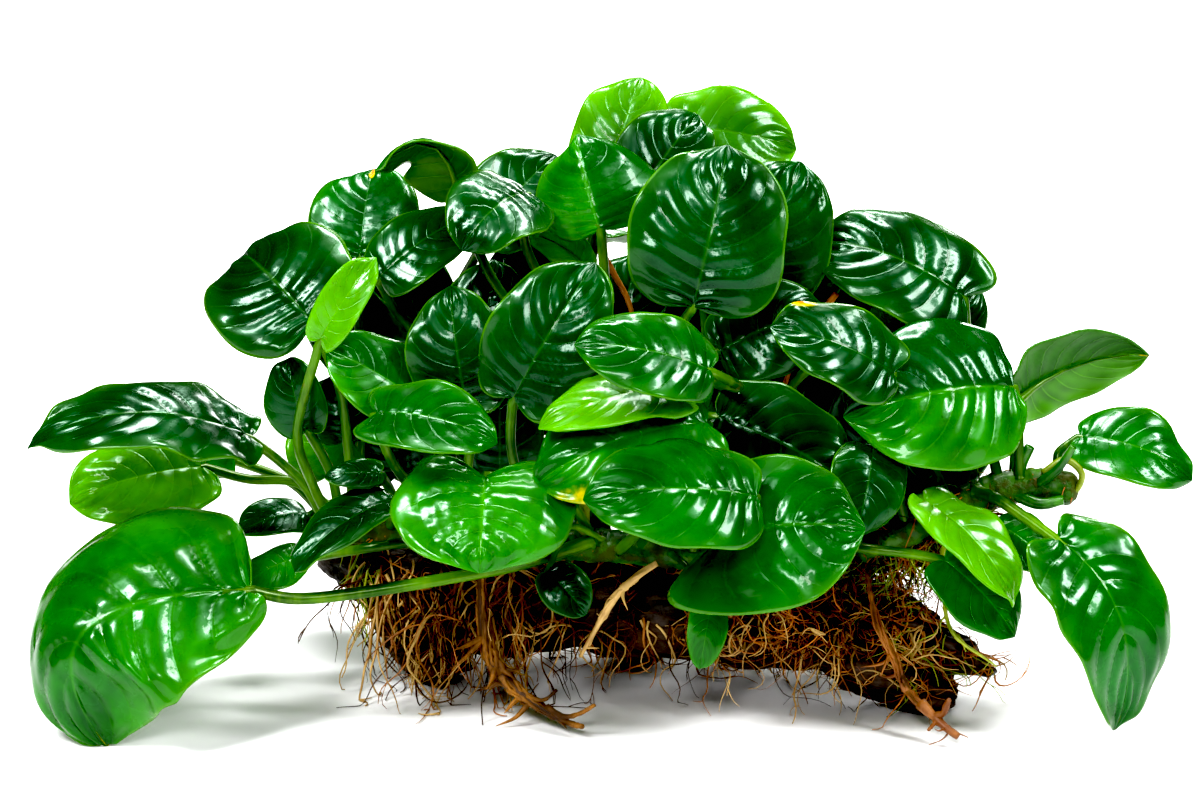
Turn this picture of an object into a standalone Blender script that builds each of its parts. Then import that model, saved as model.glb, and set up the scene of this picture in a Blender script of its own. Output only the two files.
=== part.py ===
"""Anubias growing on driftwood: leaves, rhizomes, roots and wood, each piece a closed solid.

Lengths are millimetres until a mesh is made. X runs to the right, Y away from the viewer and
Z up. The plant was laid out as it is seen from the front, a little from above: a place is given
by how far across and how high it is seen, and by its depth behind the middle of the wood.
"""
import math

import bmesh
import bpy
import numpy as np
from mathutils import Vector, noise
from mathutils.bvhtree import BVHTree
from mathutils.kdtree import KDTree

MM = 0.001

# The view that the layout is drawn in
VIEW_TILT = math.radians(15)
VIEW_DISTANCE = 1100.0
VIEW_HEIGHT = 88.0

# Moves the finished plant so that the middle of its box stands over the origin
FOOTPRINT_SHIFT = Vector((-4.2, 1.0, 0.0))

GAP = 0.35
BLADE_THICK = 0.55
BLADE_CLEAR = 1.0
PETIOLE = 1.5
STEM_CLEAR = 0.8
SHEATH = 0.3

TONES = {
    "dark": (0.010, 0.085, 0.022),
    "mature": (0.018, 0.160, 0.028),
    "bright": (0.055, 0.310, 0.030),
    "young": (0.240, 0.520, 0.040),
}


def place(across, up, depth):
    """Give the point that is seen at (across, up) and lies at this depth."""
    sin_tilt = math.sin(VIEW_TILT)
    cos_tilt = math.cos(VIEW_TILT)
    height = up * (VIEW_DISTANCE + depth * cos_tilt) - VIEW_DISTANCE * depth * sin_tilt
    height /= VIEW_DISTANCE * cos_tilt + up * sin_tilt
    reach = 1 + (depth * cos_tilt - height * sin_tilt) / VIEW_DISTANCE
    return Vector((across * reach, depth, height + VIEW_HEIGHT))


def facing(azimuth, elevation):
    """Give the direction at this azimuth (0 to the viewer, 90 to the right) and elevation."""
    azimuth = math.radians(azimuth)
    elevation = math.radians(elevation)
    flat = math.cos(elevation)
    return Vector((math.sin(azimuth) * flat, -math.cos(azimuth) * flat, math.sin(elevation)))


# The form that all blades share: where they are widest, the notch between the lobes, and waves
WIDEST = 0.38
NOTCH = 0.9
BASE_ROUND = 0.85
WAVES = 9.0
WAVE_OFFSET = 2.0


class Leaf:
    """One leaf: where its blade starts and ends, which way its top faces, and its form."""

    def __init__(self, name, base, tip, width, face, tone="mature", **form):
        self.name = name
        self.base = base
        self.tip = tip
        self.width = width
        self.face = facing(*face)
        self.tone = tone
        self.middle = form.get("middle")
        self.arch = form.get("arch", 0.10)
        self.fold = form.get("fold", 0.08)
        self.dome = form.get("dome", 0.10)
        self.wave = form.get("wave", 0.02)
        self.lobe = form.get("lobe", 0.14)
        self.point = form.get("point", 0.90)
        self.straight = form.get("straight", 0.0)
        self.skew = form.get("skew", 0.0)
        self.stem = form.get("stem", ())
        self.foot = form.get("foot")
        self.radius = form.get("radius", PETIOLE)
        self.joins = form.get("joins")
        self.hidden = form.get("hidden", False)
        self.bends = 3 if self.joins else 6 if self.stem else 4
        self.push = 0.0
        self.lay()

    def turn(self):
        """Give the rank in which petioles are led: those with a known course come first."""
        return (not self.stem, self.foot is None)

    def lay(self):
        """Work out the midrib's three points for the present push."""
        if self.hidden:
            outward = Vector((self.tip[0], self.tip[1], 0)).normalized() * self.push
            self.start = Vector(self.base) + outward
            self.end = Vector(self.tip) + outward
            scale = 1.0
        else:
            self.start = place(self.base[0], self.base[1], self.base[2] + self.push)
            self.end = place(self.tip[0], self.tip[1], self.tip[2] + self.push)
            scale = 1 + self.start.y / VIEW_DISTANCE
        self.span = self.width * scale
        along = self.end - self.start
        self.length = along.length
        normal = self.face - along * (self.face.dot(along) / along.length_squared)
        self.chord = (self.start + self.end) / 2 + normal.normalized() * self.arch * self.length
        self.mid = self.chord
        if self.middle:
            self.mid = place(self.middle[0], self.middle[1], self.middle[2] + self.push)

    def rib(self, s, v=0.0):
        """Give the midrib's point, direction, side and normal at s, which may pass its ends.

        Away from the midrib, at v, the curve is nearer to the chord if the leaf says so.
        """
        t = min(max(s, 0.0), 1.0)
        mid = self.mid.lerp(self.chord, self.straight * v * v)
        point = self.start * (1 - t) * (1 - 2 * t) + mid * 4 * t * (1 - t)
        point += self.end * t * (2 * t - 1)
        along = self.start * (4 * t - 3) + mid * (4 - 8 * t) + self.end * (4 * t - 1)
        point += along * (s - t)
        along.normalize()
        normal = (self.face - along * self.face.dot(along)).normalized()
        return point, along, normal.cross(along), normal

    def blade(self, u, v, lift=0.0):
        """Give the blade's point at u from base to tip and v across, from -1 to 1."""
        turn = math.pi * u
        reach = WIDEST + self.lobe if u < 0.5 else 1 - WIDEST
        margin = WIDEST - reach * math.cos(turn)
        margin += self.lobe * max(0.0, 1 - turn / NOTCH) ** 2
        centre = u * (0.8 + 0.2 * u)
        s = centre + (margin - centre) * abs(v) ** 1.5
        half = self.span / 2 * math.sin(turn) ** (BASE_ROUND if u < 0.5 else self.point)
        half *= 1 + self.skew * v * (1 - u)
        point, along, side, normal = self.rib(s, v)
        rise = self.fold * half * abs(v) - self.dome * half * v * v
        swing = math.sin(WAVES * u + (WAVE_OFFSET if v > 0 else 0.0))
        rise += self.wave * self.span * v * v * swing
        return point + side * (v * half) + normal * (rise + lift)


def leaf(*row, **form):
    """Add a leaf to the plant."""
    LEAVES.append(Leaf(*row, **form))


# Woody pieces and rhizomes: points along the middle with the half depth and half height there
WOOD = {
    "wood_log": [
        ((-84, 10, 38), (4, 5)),
        ((-68, 7, 32), (13, 12)),
        ((-48, 3, 28), (20, 17)),
        ((-18, -2, 28), (22, 18)),
        ((18, -6, 28), (23, 18)),
        ((50, -12, 27), (22, 18)),
        ((78, -17, 25), (17, 15)),
    ],
    "wood_left_lump": [
        ((-60, 4, 28), (13, 12)),
        ((-54, 1, 14), (13, 12)),
        ((-49, -2, 5), (11, 10)),
        ((-47, -3, 0), (9, 8)),
    ],
    "wood_back_foot": [
        ((6, 8, 24), (12, 12)),
        ((12, 24, 14), (11, 10)),
        ((17, 34, 5), (9, 8)),
        ((19, 38, 0), (8, 7)),
    ],
    "wood_right_foot": [
        ((66, -15, 24), (15, 14)),
        ((82, -22, 13), (13, 12)),
        ((95, -27, 6.5), (10, 8)),
        ((107, -28, 4), (5, 4.5)),
    ],
    "wood_right_prong": [
        ((74, -16, 30), (12, 11)),
        ((92, -19, 24), (9, 8)),
        ((106, -23, 16), (6, 5.5)),
        ((118, -26, 10), (2.4, 2.4)),
    ],
}
LIMB_ENDS_FLAT = ("wood_left_lump", "wood_back_foot")

RHIZOMES = {
    "rhizome_left": ([(-84, -6, 52), (-68, -9, 50), (-50, -14, 50), (-32, -18, 51)], 4.6),
    "rhizome_middle": ([(-20, -22, 50), (0, -25, 50), (24, -28, 49), (48, -30, 49), (66, -30, 50)], 5.0),
    "rhizome_right": (
        [(76, -20, 46), (92, -22, 54), (108, -20, 62), (124, -20, 67), (142, -20, 66)],
        5.0,
    ),
    "rhizome_back_left": ([(-62, 20, 46), (-40, 24, 49), (-18, 24, 50)], 4.4),
    "rhizome_back_right": ([(-4, 24, 50), (20, 22, 50), (44, 15, 50), (66, 8, 48)], 4.6),
    "rhizome_crown": ([(6, -2, 52), (9, 0, 68), (12, 3, 84), (14, 6, 98)], 4.6),
    "rhizome_crown_left": ([(-44, 4, 52), (-47, 6, 66), (-50, 8, 80)], 4.2),
}

# Thick roots: (across, up, depth) and radius
ROOTS = {
    "root_front_left": [
        ((-36, -46.5, -27), 1.9),
        ((-35.5, -60, -31), 2.3),
        ((-33, -77, -34), 2.6),
        ((-24, -88, -40), 2.1),
        ((-10, -97, -50), 0.9),
    ],
    "root_front_middle": [
        ((17, -49, -40), 1.5),
        ((11, -53, -42), 1.7),
        ((4, -60, -44), 1.5),
        ((-6, -77, -42), 0.8),
    ],
    "root_right": [
        ((80, -52, -31), 1.6),
        ((83, -66, -42), 1.9),
        ((89, -79, -46), 1.9),
        ((93, -88, -50), 1.6),
        ((107, -101, -62), 0.7),
    ],
    "root_right_green": [
        ((103, -43, -30), 1.3),
        ((103, -57, -34), 1.3),
        ((106, -70, -38), 1.1),
        ((119, -80, -44), 0.5),
    ],
    "root_back": [
        ((33, -30, 34), 1.7),
        ((36, -44, 42), 1.8),
        ((40, -56, 48), 1.4),
        ((48, -64, 58), 0.7),
    ],
}

# Mats of fine roots on the wood: points along the middle with half depth and half height
MATS = {
    "roots_fine_left": [
        ((-67, -7, 30), (6, 11)),
        ((-56, -14, 26), (9, 19)),
        ((-46, -18, 24), (9, 20)),
        ((-34, -20, 26), (8, 15)),
        ((-25, -22, 26), (4, 8)),
    ],
    "roots_fine_middle": [
        ((-15, -23, 22), (4, 8)),
        ((-2, -27, 20), (7, 13)),
        ((12, -29, 18), (7, 13)),
        ((26, -29, 20), (4, 9)),
    ],
    "roots_fine_right": [
        ((34, -30, 24), (5, 10)),
        ((48, -33, 24), (9, 17)),
        ((66, -34, 23), (9, 17)),
        ((84, -34, 23), (8, 15)),
        ((98, -32, 22), (6, 11)),
        ((109, -31, 20), (3, 5)),
    ],
    "roots_fine_back_left": [
        ((-54, 18, 26), (4, 8)),
        ((-38, 20, 25), (8, 16)),
        ((-20, 20, 24), (8, 16)),
        ((-4, 21, 26), (4, 9)),
    ],
    "roots_fine_back_right": [
        ((28, 18, 26), (4, 9)),
        ((42, 14, 24), (8, 16)),
        ((58, 9, 24), (8, 15)),
        ((72, 3, 25), (4, 8)),
    ],
}
MAT_TUFTS = 5.0
FLOOR_CLEAR = 0.6

LEAVES = []

# Left side
leaf("leaf_left_long", (-105, -11, -15), (-170, -12, -24), 36, (-8, 66), "dark", arch=0.15,
     foot=(-75, -37), point=1.25, lobe=0.12)
leaf("leaf_left_big", (-105, -57, -48), (-149, -103, -62), 66, (-22, 36), "bright", lobe=0.1,
     middle=(-154, -69, -62), radius=1.8, point=0.95, fold=0.0, dome=0.2, straight=0.45,
     skew=-0.55,
     stem=((-87, -60, -50), (-60, -56, -47), (-30, -51, -42)), foot=(-3, -49))
leaf("leaf_left_light", (-119, -20, -2), (-158, -30, -8), 31, (-12, 42), "young",
     foot=(-78, -39), lobe=0.2)
leaf("leaf_left_flap", (-110, -17, 8), (-134, -8, 4), 24, (10, 55), "bright",
     joins="rhizome_left")
leaf("leaf_left_narrow", (-88, -34, 14), (-108, -40, 8), 17, (-20, 62), "dark",
     joins="rhizome_left")
leaf("leaf_left_small", (-90, -47, -12), (-107, -56, -16), 17, (-15, 48), "bright",
     joins="rhizome_left")
leaf("leaf_left_low_dark", (-62, -30, -40), (-91, -50, -54), 20, (-25, 62), "dark", fold=0.2)
leaf("leaf_upper_left_dark", (-86, 23, -26), (-107, 44, 2), 46, (-22, 46), "dark", arch=0.14,
     lobe=0.14)
leaf("leaf_upper_left_young", (-84, 18, -40), (-68, 42, -36), 14, (-10, 15), "young", fold=0.3)
leaf("leaf_top_left", (-72, 43, -2), (-68, 69, 18), 34, (-8, 42), "mature")
leaf("leaf_top_left_underside", (-42, 62, -4), (-67, 70, -10), 30, (170, 62), "mature",
     middle=(-51, 77, -5), fold=-0.2, lobe=0.12)
leaf("leaf_top_left_shiny", (-66, 37, -20), (-40, 55, -8), 24, (4, 48), "dark")

# Top
leaf("leaf_top_behind_fold", (-34, 50, 8), (-14, 73, 18), 30, (0, 42), "dark",
     joins="rhizome_crown_left")
leaf("leaf_top_drape", (-22, 62, -12), (-41, 46, -28), 32, (-12, 40), "dark", arch=0.2)
leaf("leaf_top_folded", (0, 51, -22), (-7, 79, -8), 38, (-12, 18), "bright", fold=-0.45)
leaf("leaf_top_light", (2, 66, 2), (12, 96, 14), 29, (-4, 24), "young")
leaf("leaf_top_right_light", (22, 82, 16), (58, 76, 20), 29, (14, 30), "young",
     foot=(52, -30))
leaf("leaf_top_dark", (10, 60, -8), (29, 85, 6), 30, (6, 32), "dark")
leaf("leaf_top_round", (28, 28, -38), (38, 75, -24), 49, (4, 20), "dark", dome=0.16,
     point=0.85, lobe=0.1)
leaf("leaf_behind_round", (38, 28, -16), (60, 70, -4), 42, (26, 30), "dark")
leaf("leaf_right_of_round", (42, 24, -2), (67, 56, 8), 38, (38, 30), "dark")
leaf("leaf_under_round", (36, 15, -18), (66, 28, -12), 30, (24, 32), "dark",
     joins="rhizome_crown")

# Right side
leaf("leaf_upper_right", (109, 31, -6), (66, 48, 4), 38, (4, 44), "dark", arch=0.14,
     lobe=0.28)
leaf("leaf_right_curled", (88, 8, -38), (53, 22, -42), 30, (-4, 44), "dark", wave=0.05,
     stem=((77, 11, -33), (64, 9, -25), (54, -4, -19)), foot=(48, -36))
leaf("leaf_right_large", (124, 4, -20), (75, -4, -34), 49, (2, 34), "bright", arch=0.14,
     dome=0.2, lobe=0.1)
leaf("leaf_far_right_upper", (126, 1, 4), (163, 14, 12), 27, (170, 24), "bright", arch=0.14)
leaf("leaf_far_right", (144, -11, -12), (177, -23, -18), 27, (18, 46), "mature", arch=0.14)
leaf("leaf_far_right_droop", (137, -41.5, -40), (155.5, -98, -50), 40, (30, 30), "mature",
     middle=(156, -66, -52), radius=1.8, point=1.2, foot=(108, -32))
leaf("leaf_right_wavy", (97, -30, -42), (124, -60, -54), 25, (44, 44), "young", wave=0.06,
     fold=0.25)
leaf("leaf_right_low", (103, -48, -42), (124, -70, -50), 24, (18, 34), "bright",
     stem=((90, -46, -42), (77, -44.5, -38)))
leaf("leaf_right_crown_small", (119, -37, -28), (135, -50, -35), 18, (0, 46), "bright",
     joins="rhizome_right")
leaf("leaf_right_underside", (90, 14, 10), (88, 32, 16), 20, (178, 40), "bright",
     joins="rhizome_right")

# Front
leaf("leaf_front_right_dark", (82, -14, -36), (77, -40, -48), 24, (8, 24), "dark")
leaf("leaf_front_right_shiny", (35, -5, -42), (75, -25, -50), 34, (10, 34), "dark")
leaf("leaf_front_lowest", (37, -40, -58), (78, -38, -62), 49, (4, 40), "mature", lobe=0.7,
     dome=0.2, skew=-0.12, foot=(30, -50))
leaf("leaf_front_shiny", (47, -29, -66), (-3, -29, -74), 38, (-6, 44), "mature", dome=0.2,
     lobe=0.12)
leaf("leaf_front_heart", (-34.5, -23, -58), (-36, -50.5, -76), 56, (0, 48), "bright", lobe=0.50,
     dome=0.24, point=0.85, foot=(-2, -48))
leaf("leaf_front_green", (32, -7, -50), (-18, -24, -62), 38, (-6, 40), "bright", dome=0.12,
     arch=0.16)
leaf("leaf_front_light", (26, 3, -48), (-17, -7, -58), 24, (0, 58), "young",
     foot=(20, -46))
leaf("leaf_front_bright", (33, 9, -54), (-6, 17, -58), 29, (0, 44), "mature", dome=0.2,
     wave=0.04)
leaf("leaf_front_large_dark", (-26, 0.5, -50), (-2.5, 40, -40), 36, (-4, 22), "dark")
leaf("leaf_front_left_dark", (-40, -1.5, -38), (-45, 33, -30), 31, (-8, 22), "dark",
     foot=(-34, -34))
leaf("leaf_front_left_green", (-55, 0, -36), (-81, 15, -38), 26, (-18, 42), "bright")
leaf("leaf_front_left_curved", (-67, -4, -50), (-32, -12, -56), 26, (0, 52), "mature",
     arch=0.12, lobe=0.25)
leaf("leaf_left_curled", (-88, -9, -28), (-93, 12, -24), 20, (-28, 24), "dark", fold=0.25)
leaf("leaf_left_inner_dark", (-76, -12, -14), (-79, 8, -6), 22, (-4, 26), "dark",
     joins="rhizome_left")
leaf("leaf_left_backlit", (-81, -22, 8), (-90, -7, 14), 18, (0, 24), "young",
     joins="rhizome_left")
leaf("leaf_left_tiny", (-66, -22, -36), (-82, -23, -38), 10, (0, 44), "dark",
     joins="rhizome_left")
leaf("leaf_front_hanging", (33.5, -59.5, -50), (30, -80, -54), 12, (0, 16), "bright",
     joins="rhizome_middle", dome=0.02, radius=1.0)
leaf("leaf_front_dull", (-15.5, -51.5, -42), (-4.5, -64, -46), 15, (0, 34), "dark",
     joins="rhizome_middle", radius=1.0)
leaf("leaf_inner_underside", (-4, 40, -6), (-20, 50, -10), 16, (176, 40), "bright",
     joins="rhizome_crown", radius=1.0)

# The back of the plant, in rows that lean outward: height, reach, blade length, azimuths
BACK_ROWS = (
    ("low", 58, 66, 44, (112, 142, 172, 202, 230)),
    ("mid", 92, 56, 42, (130, 170, 212)),
    ("high", 128, 40, 38, (120, 156, 192, 222)),
)
BACK_STRETCH = 1.45
BACK_CENTRE_X = 6
BACK_TONES = ("dark", "mature", "bright")


def back_leaves():
    """Add the leaves behind, row by row, each blade hanging over the row below it."""
    count = 0
    for row, height, reach, length, azimuths in BACK_ROWS:
        for azimuth in azimuths:
            outward = facing(azimuth, 0)
            outward.x *= BACK_STRETCH
            lean = 0.5 + 0.5 * noise.noise((azimuth * 0.13, height * 0.1, 3.0))
            base = outward * (reach - 0.35 * length) + Vector((BACK_CENTRE_X, 0, height + 10 * lean))
            tip = outward * (reach + 0.40 * length) + Vector((BACK_CENTRE_X, 0, height - 18 * lean))
            count += 1
            leaf(f"leaf_back_{row}_{count}", tuple(base), tuple(tip), length * (0.72 + 0.16 * lean),
                 (azimuth, 48), BACK_TONES[count % len(BACK_TONES)], hidden=True, arch=0.12,
                 joins="rhizome_back_left" if base.x < 0 else "rhizome_back_right")


back_leaves()

# Dark leaves inside the plant: where the blade's middle is seen, its depth and its azimuth
INNER_LEAVES = (
    (-74, 22, 8, -30, "rhizome_crown_left"),
    (-58, 34, 14, -12, "rhizome_crown_left"),
    (-64, -8, 0, -6, "rhizome_left"),
    (-34, 26, 6, 4, "rhizome_crown_left"),
    (-22, 33, 11, -8, "rhizome_crown"),
    (-16, 8, 4, -10, "rhizome_crown"),
    (7, 28, 17, 8, "rhizome_crown"),
    (48, 4, 6, 10, "rhizome_back_right"),
    (62, -14, 2, 14, "rhizome_right"),
    (72, 30, 14, 22, "rhizome_back_right"),
    (84, -2, 2, 18, "rhizome_right"),
    (100, 18, 12, 30, "rhizome_right"),
    (104, -14, -4, 24, "rhizome_right"),
    (-30, -8, 2, 0, "rhizome_crown_left"),
    (64, 6, 6, 16, "rhizome_back_right"),
    (30, 20, 2, 10, "rhizome_crown"),
    (36, -6, 6, 8, "rhizome_crown"),
    (98, -30, 2, 20, "rhizome_right"),
)
INNER_REACH = 15
INNER_WIDTH = 27
INNER_LEAN = 30


def inner_leaves():
    """Add the dark leaves that close the view into the plant, each facing the viewer."""
    for count, (across, up, depth, azimuth, rhizome) in enumerate(INNER_LEAVES):
        sway = INNER_REACH * math.sin(math.radians(azimuth * 2))
        leaf(f"leaf_inner_{count}", (across - sway, up - INNER_REACH, depth - 3),
             (across + sway, up + INNER_REACH, depth + 5), INNER_WIDTH, (azimuth, INNER_LEAN),
             "dark", joins=rhizome, radius=1.1)


inner_leaves()
LEAVES.sort(key=lambda item: (item.hidden, item.start.y + item.end.y))

# Rings of a leaf's solid: along the blade, and (across, lift) from the left margin over the top
BLADE_RINGS = (0.07, 0.20, 0.40, 0.62, 0.83)
BLADE_SECTION = ((1.0, 0.0), (0.5, 0.85), (0.0, 1.0), (-0.5, 0.85), (-1.0, 0.0), (0.0, -1.3))
SMALL_BLADE_RINGS = (0.10, 0.34, 0.70)
SMALL_SECTION = ((1.0, 0.0), (0.0, 1.0), (-1.0, 0.0), (0.0, -1.2))


def blade_rings(item, thick):
    """Give the blade's rings, each from the left margin over the top and back underneath."""
    section = SMALL_SECTION if item.joins else BLADE_SECTION
    rings = []
    for u in SMALL_BLADE_RINGS if item.joins else BLADE_RINGS:
        rings.append([item.blade(u, v, lift * thick) for v, lift in section])
    return rings


def petiole_rings(item, path):
    """Give rings along the petiole from its foot to the blade."""
    section = SMALL_SECTION if item.joins else BLADE_SECTION
    points = [Vector(point) for point in path]
    base, along, side, normal = item.rib(0.0)
    rings = []
    for index in range(len(points) - 1, -1, -1):
        before = points[max(index - 1, 0)]
        after = points[index + 1] if index + 1 < len(points) else base + along
        along = (after - before).normalized() if index else item.outward
        normal = (normal - along * normal.dot(along)).normalized()
        side = normal.cross(along)
        swell = 1.0 + SHEATH * (1 - index / (len(points) - 1)) ** 3
        ring = []
        for across, lift in section:
            spoke = (side * across + normal * lift).normalized()
            ring.append(points[index] + spoke * item.radius * swell)
        rings.insert(0, ring)
    return rings


def loft(rings, apex=None):
    """Skin rings of equal length into a closed shape, flat at the start and flat or pointed."""
    corners = len(rings[0])
    verts = [point for ring in rings for point in ring]
    faces = [tuple(range(corners - 1, -1, -1))]
    for row in range(len(rings) - 1):
        for corner in range(corners):
            after = (corner + 1) % corners
            near = row * corners
            far = near + corners
            if corner % 2:
                faces.append((near + corner, near + after, far + after))
                faces.append((near + corner, far + after, far + corner))
            else:
                faces.append((near + corner, near + after, far + corner))
                faces.append((near + after, far + after, far + corner))
    last = (len(rings) - 1) * corners
    if apex is None:
        faces.append(tuple(range(last, last + corners)))
    else:
        verts.append(apex)
        for corner in range(corners):
            faces.append((last + corner, last + (corner + 1) % corners, len(verts) - 1))
    return verts, faces


def blade_shape(item, thick):
    """Give the closed blade with the end of its petiole, to test it against others."""
    base, along, side, normal = item.rib(0.0)
    neck = []
    for across, lift in SMALL_SECTION if item.joins else BLADE_SECTION:
        neck.append(base + (side * across + normal * lift) * (item.radius + thick / 2))
    return loft([neck] + blade_rings(item, thick), item.blade(1.0, 0.0))


def tree(shapes):
    """Give one search tree over several shapes."""
    verts = []
    faces = []
    for shape_verts, shape_faces in shapes:
        start = len(verts)
        verts.extend(shape_verts)
        faces.extend(tuple(start + index for index in face) for face in shape_faces)
    return BVHTree.FromPolygons(verts, faces)


def chain_beads(width_scale=1.0):
    """Give balls that fill the wood and the rhizomes: middle and radius."""
    beads = []
    for route, radius in RHIZOMES.values():
        for middle in smooth_path(route, 6 * len(route)):
            beads.append((middle, radius + GAP))
    for stations in WOOD.values():
        for (start, start_size), (end, end_size) in zip(stations, stations[1:]):
            for step in range(4):
                part = step / 4
                middle = Vector(start).lerp(Vector(end), part)
                half_depth = start_size[0] + (end_size[0] - start_size[0]) * part
                half_height = start_size[1] + (end_size[1] - start_size[1]) * part
                beads.append((middle, (half_depth + half_height) / 2 * width_scale))
    return beads


MOST_PUSH = 60


def settle():
    """Push each blade back along its line of sight until it clears the blades before it."""
    beads = chain_beads()
    placed = []
    for item in LEAVES:
        for step in range(MOST_PUSH):
            item.push = float(step)
            item.lay()
            shape = blade_shape(item, BLADE_CLEAR)
            if not placed:
                break
            if not tree([shape]).overlap(tree(placed)):
                break
        else:
            print("blade still touches another:", item.name)
        verts = shape[0]
        for middle, radius in beads:
            nearest = min((point - middle).length for point in verts)
            if nearest < radius:
                print("blade in the wood:", item.name, round(radius - nearest, 1))
                break
        placed.append(shape)
    return placed


def bezier(start, start_pull, end, end_pull, count):
    """Give points along a cubic curve."""
    points = []
    for index in range(count):
        t = index / (count - 1)
        s = 1 - t
        point = start * s ** 3 + start_pull * 3 * s * s * t
        point = point + end_pull * 3 * s * t * t + end * t ** 3
        points.append(point)
    return points


def smooth_path(route, count):
    """Give evenly spread points on a smooth curve through the route."""
    route = [Vector(point) for point in route]
    padded = [route[0] * 2 - route[1]] + route + [route[-1] * 2 - route[-2]]
    spans = len(route) - 1
    points = []
    for index in range(count):
        place_on = index / (count - 1) * spans
        span = min(int(place_on), spans - 1)
        t = place_on - span
        a, b, c, d = padded[span:span + 4]
        points.append(0.5 * (b * 2 + (c - a) * t + (a * 2 - b * 5 + c * 4 - d) * t * t
                             + (b * 3 - a - c * 3 + d) * t ** 3))
    return points


SLOT_STEP = 5.2
SLOT_TURNS = (-75, -15, 45)
UPRIGHT_TURNS = (-150, -90, -30, 30, 90, 150)
SLOT_STAGGER = 30
FOOT_SPACING = 4.4
ROUTE_SAMPLES = 15


def foot_slots():
    """Give the places on the rhizomes where a petiole can stand: rhizome, point and outward."""
    slots = []
    for name, (route, radius) in RHIZOMES.items():
        length = sum((Vector(b) - Vector(a)).length for a, b in zip(route, route[1:]))
        count = int(length / SLOT_STEP)
        points = smooth_path(route, count)
        for index, point in enumerate(points[:-1]):
            along = points[index + 1] - points[max(index - 1, 0)]
            along.normalize()
            side = along.cross(Vector((0, 0, 1)))
            if side.length < 0.5:
                side = Vector((0, -1, 0))
            side.normalize()
            up = side.cross(along)
            stagger = SLOT_STAGGER if index % 2 else 0
            turns = SLOT_TURNS if abs(along.z) < 0.8 else UPRIGHT_TURNS
            for turn in turns:
                angle = math.radians(turn + stagger)
                outward = side * math.sin(angle) + up * math.cos(angle)
                slots.append((name, point + outward * (radius * 1.1 + GAP), outward))
    return slots


# What a course costs above its length, for each point or run that is in the way
CROSSING = 400
TOUCHING = 60
OWN_BLADE = 80
IN_WOOD = 30


def near_cost(points, item, beads, stems):
    """Score a course's length and its nearness to wood, rhizomes and other petioles."""
    cost = sum((b - a).length for a, b in zip(points, points[1:]))
    course = points + straight_runs(points, item.bends)[2:]
    for point in course:
        if stems.short(point, item.radius) > 0:
            cost += TOUCHING
    middles, radii = beads
    flat = np.array([value for point in course[2:] for value in point]).reshape(-1, 3)
    apart = np.linalg.norm(flat[:, None, :] - middles[None, :, :], axis=2)
    return cost + IN_WOOD * np.count_nonzero(apart < radii + item.radius)


class Stems:
    """The petioles led so far, as points with a radius."""

    def __init__(self):
        self.points = []
        self.radii = []
        self.search = None

    def add(self, points, radius):
        """Add a course and sort all points for searching."""
        self.points.extend(points)
        self.radii.extend([radius] * len(points))
        self.search = KDTree(len(self.points))
        for index, point in enumerate(self.points):
            self.search.insert(point, index)
        self.search.balance()

    def short(self, point, radius):
        """Give by how much a petiole at this point stands too near to another."""
        if self.search is None:
            return -1.0
        near, index, apart = self.search.find(point)
        return self.radii[index] + radius + STEM_SPACING - apart

    def away(self, point):
        """Give the direction from the nearest other petiole to this point."""
        return (point - self.search.find(point)[0]).normalized()


def blade_cost(points, item, others, own, limit):
    """Score how far a course touches or crosses blades, up to a limit."""
    cost = 0.0
    steps = [b - a for a, b in zip(points, points[1:])]
    clear = item.radius + STEM_CLEAR
    last = len(steps)
    for index, step in enumerate(steps):
        start = points[index]
        if others.ray_cast(start, step, step.length)[0] is not None:
            cost += CROSSING
        near = others.find_nearest(points[index + 1], clear)
        if near[0] is not None:
            cost += TOUCHING * (1 + clear - near[3])
        if index < last - 3:
            if own.ray_cast(start, step, step.length)[0] is not None:
                cost += CROSSING
            if own.find_nearest(start, clear)[0] is not None:
                cost += OWN_BLADE
        if cost > limit:
            return cost
    coarse = few(points, item.bends)
    for a, b in zip(coarse, coarse[1:]):
        if others.ray_cast(a, b - a, (b - a).length)[0] is not None:
            cost += CROSSING
        for part in (0.3, 0.5, 0.7):
            if others.find_nearest(a.lerp(b, part), item.radius + 0.3)[0] is not None:
                cost += TOUCHING
    return cost


def straight_runs(points, count):
    """Give points along the straight runs between the few rings that a solid petiole has."""
    coarse = few(points, count)
    return [a.lerp(b, part / 6) for a, b in zip(coarse, coarse[1:]) for part in range(6)]


PULLS = (0.25, 0.5, 0.8)
FREE_ENOUGH = 40.0
STEM_SPACING = 0.9
FIRST_TRY = (12, 8)
SECOND_TRY = (36, 16)


def ease(points, item, others, beads, stems):
    """Nudge a course away from what it runs too close to, and smooth it."""
    points = list(points)
    clear = item.radius + STEM_CLEAR + 0.5
    for _ in range(30):
        for index in range(2, len(points) - 1):
            point = points[index]
            nudge = (points[index - 1] + points[index + 1] - point * 2) * 0.1
            near = others.find_nearest(point, clear)
            if near[0] is not None and near[3] > 0.01:
                nudge += (point - near[0]).normalized() * (clear - near[3]) * 0.7
            if stems.short(point, item.radius) > 0:
                nudge += stems.away(point) * (stems.short(point, item.radius) + 0.4) * 0.7
            middles, radii = beads
            away = np.array(point) - middles
            apart = np.linalg.norm(away, axis=1)
            short = radii + item.radius + 0.4 - apart
            worst = int(np.argmax(short))
            if short[worst] > 0:
                nudge += Vector(away[worst] / apart[worst]) * float(short[worst]) * 0.7
            points[index] = point + nudge
    return points


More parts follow.
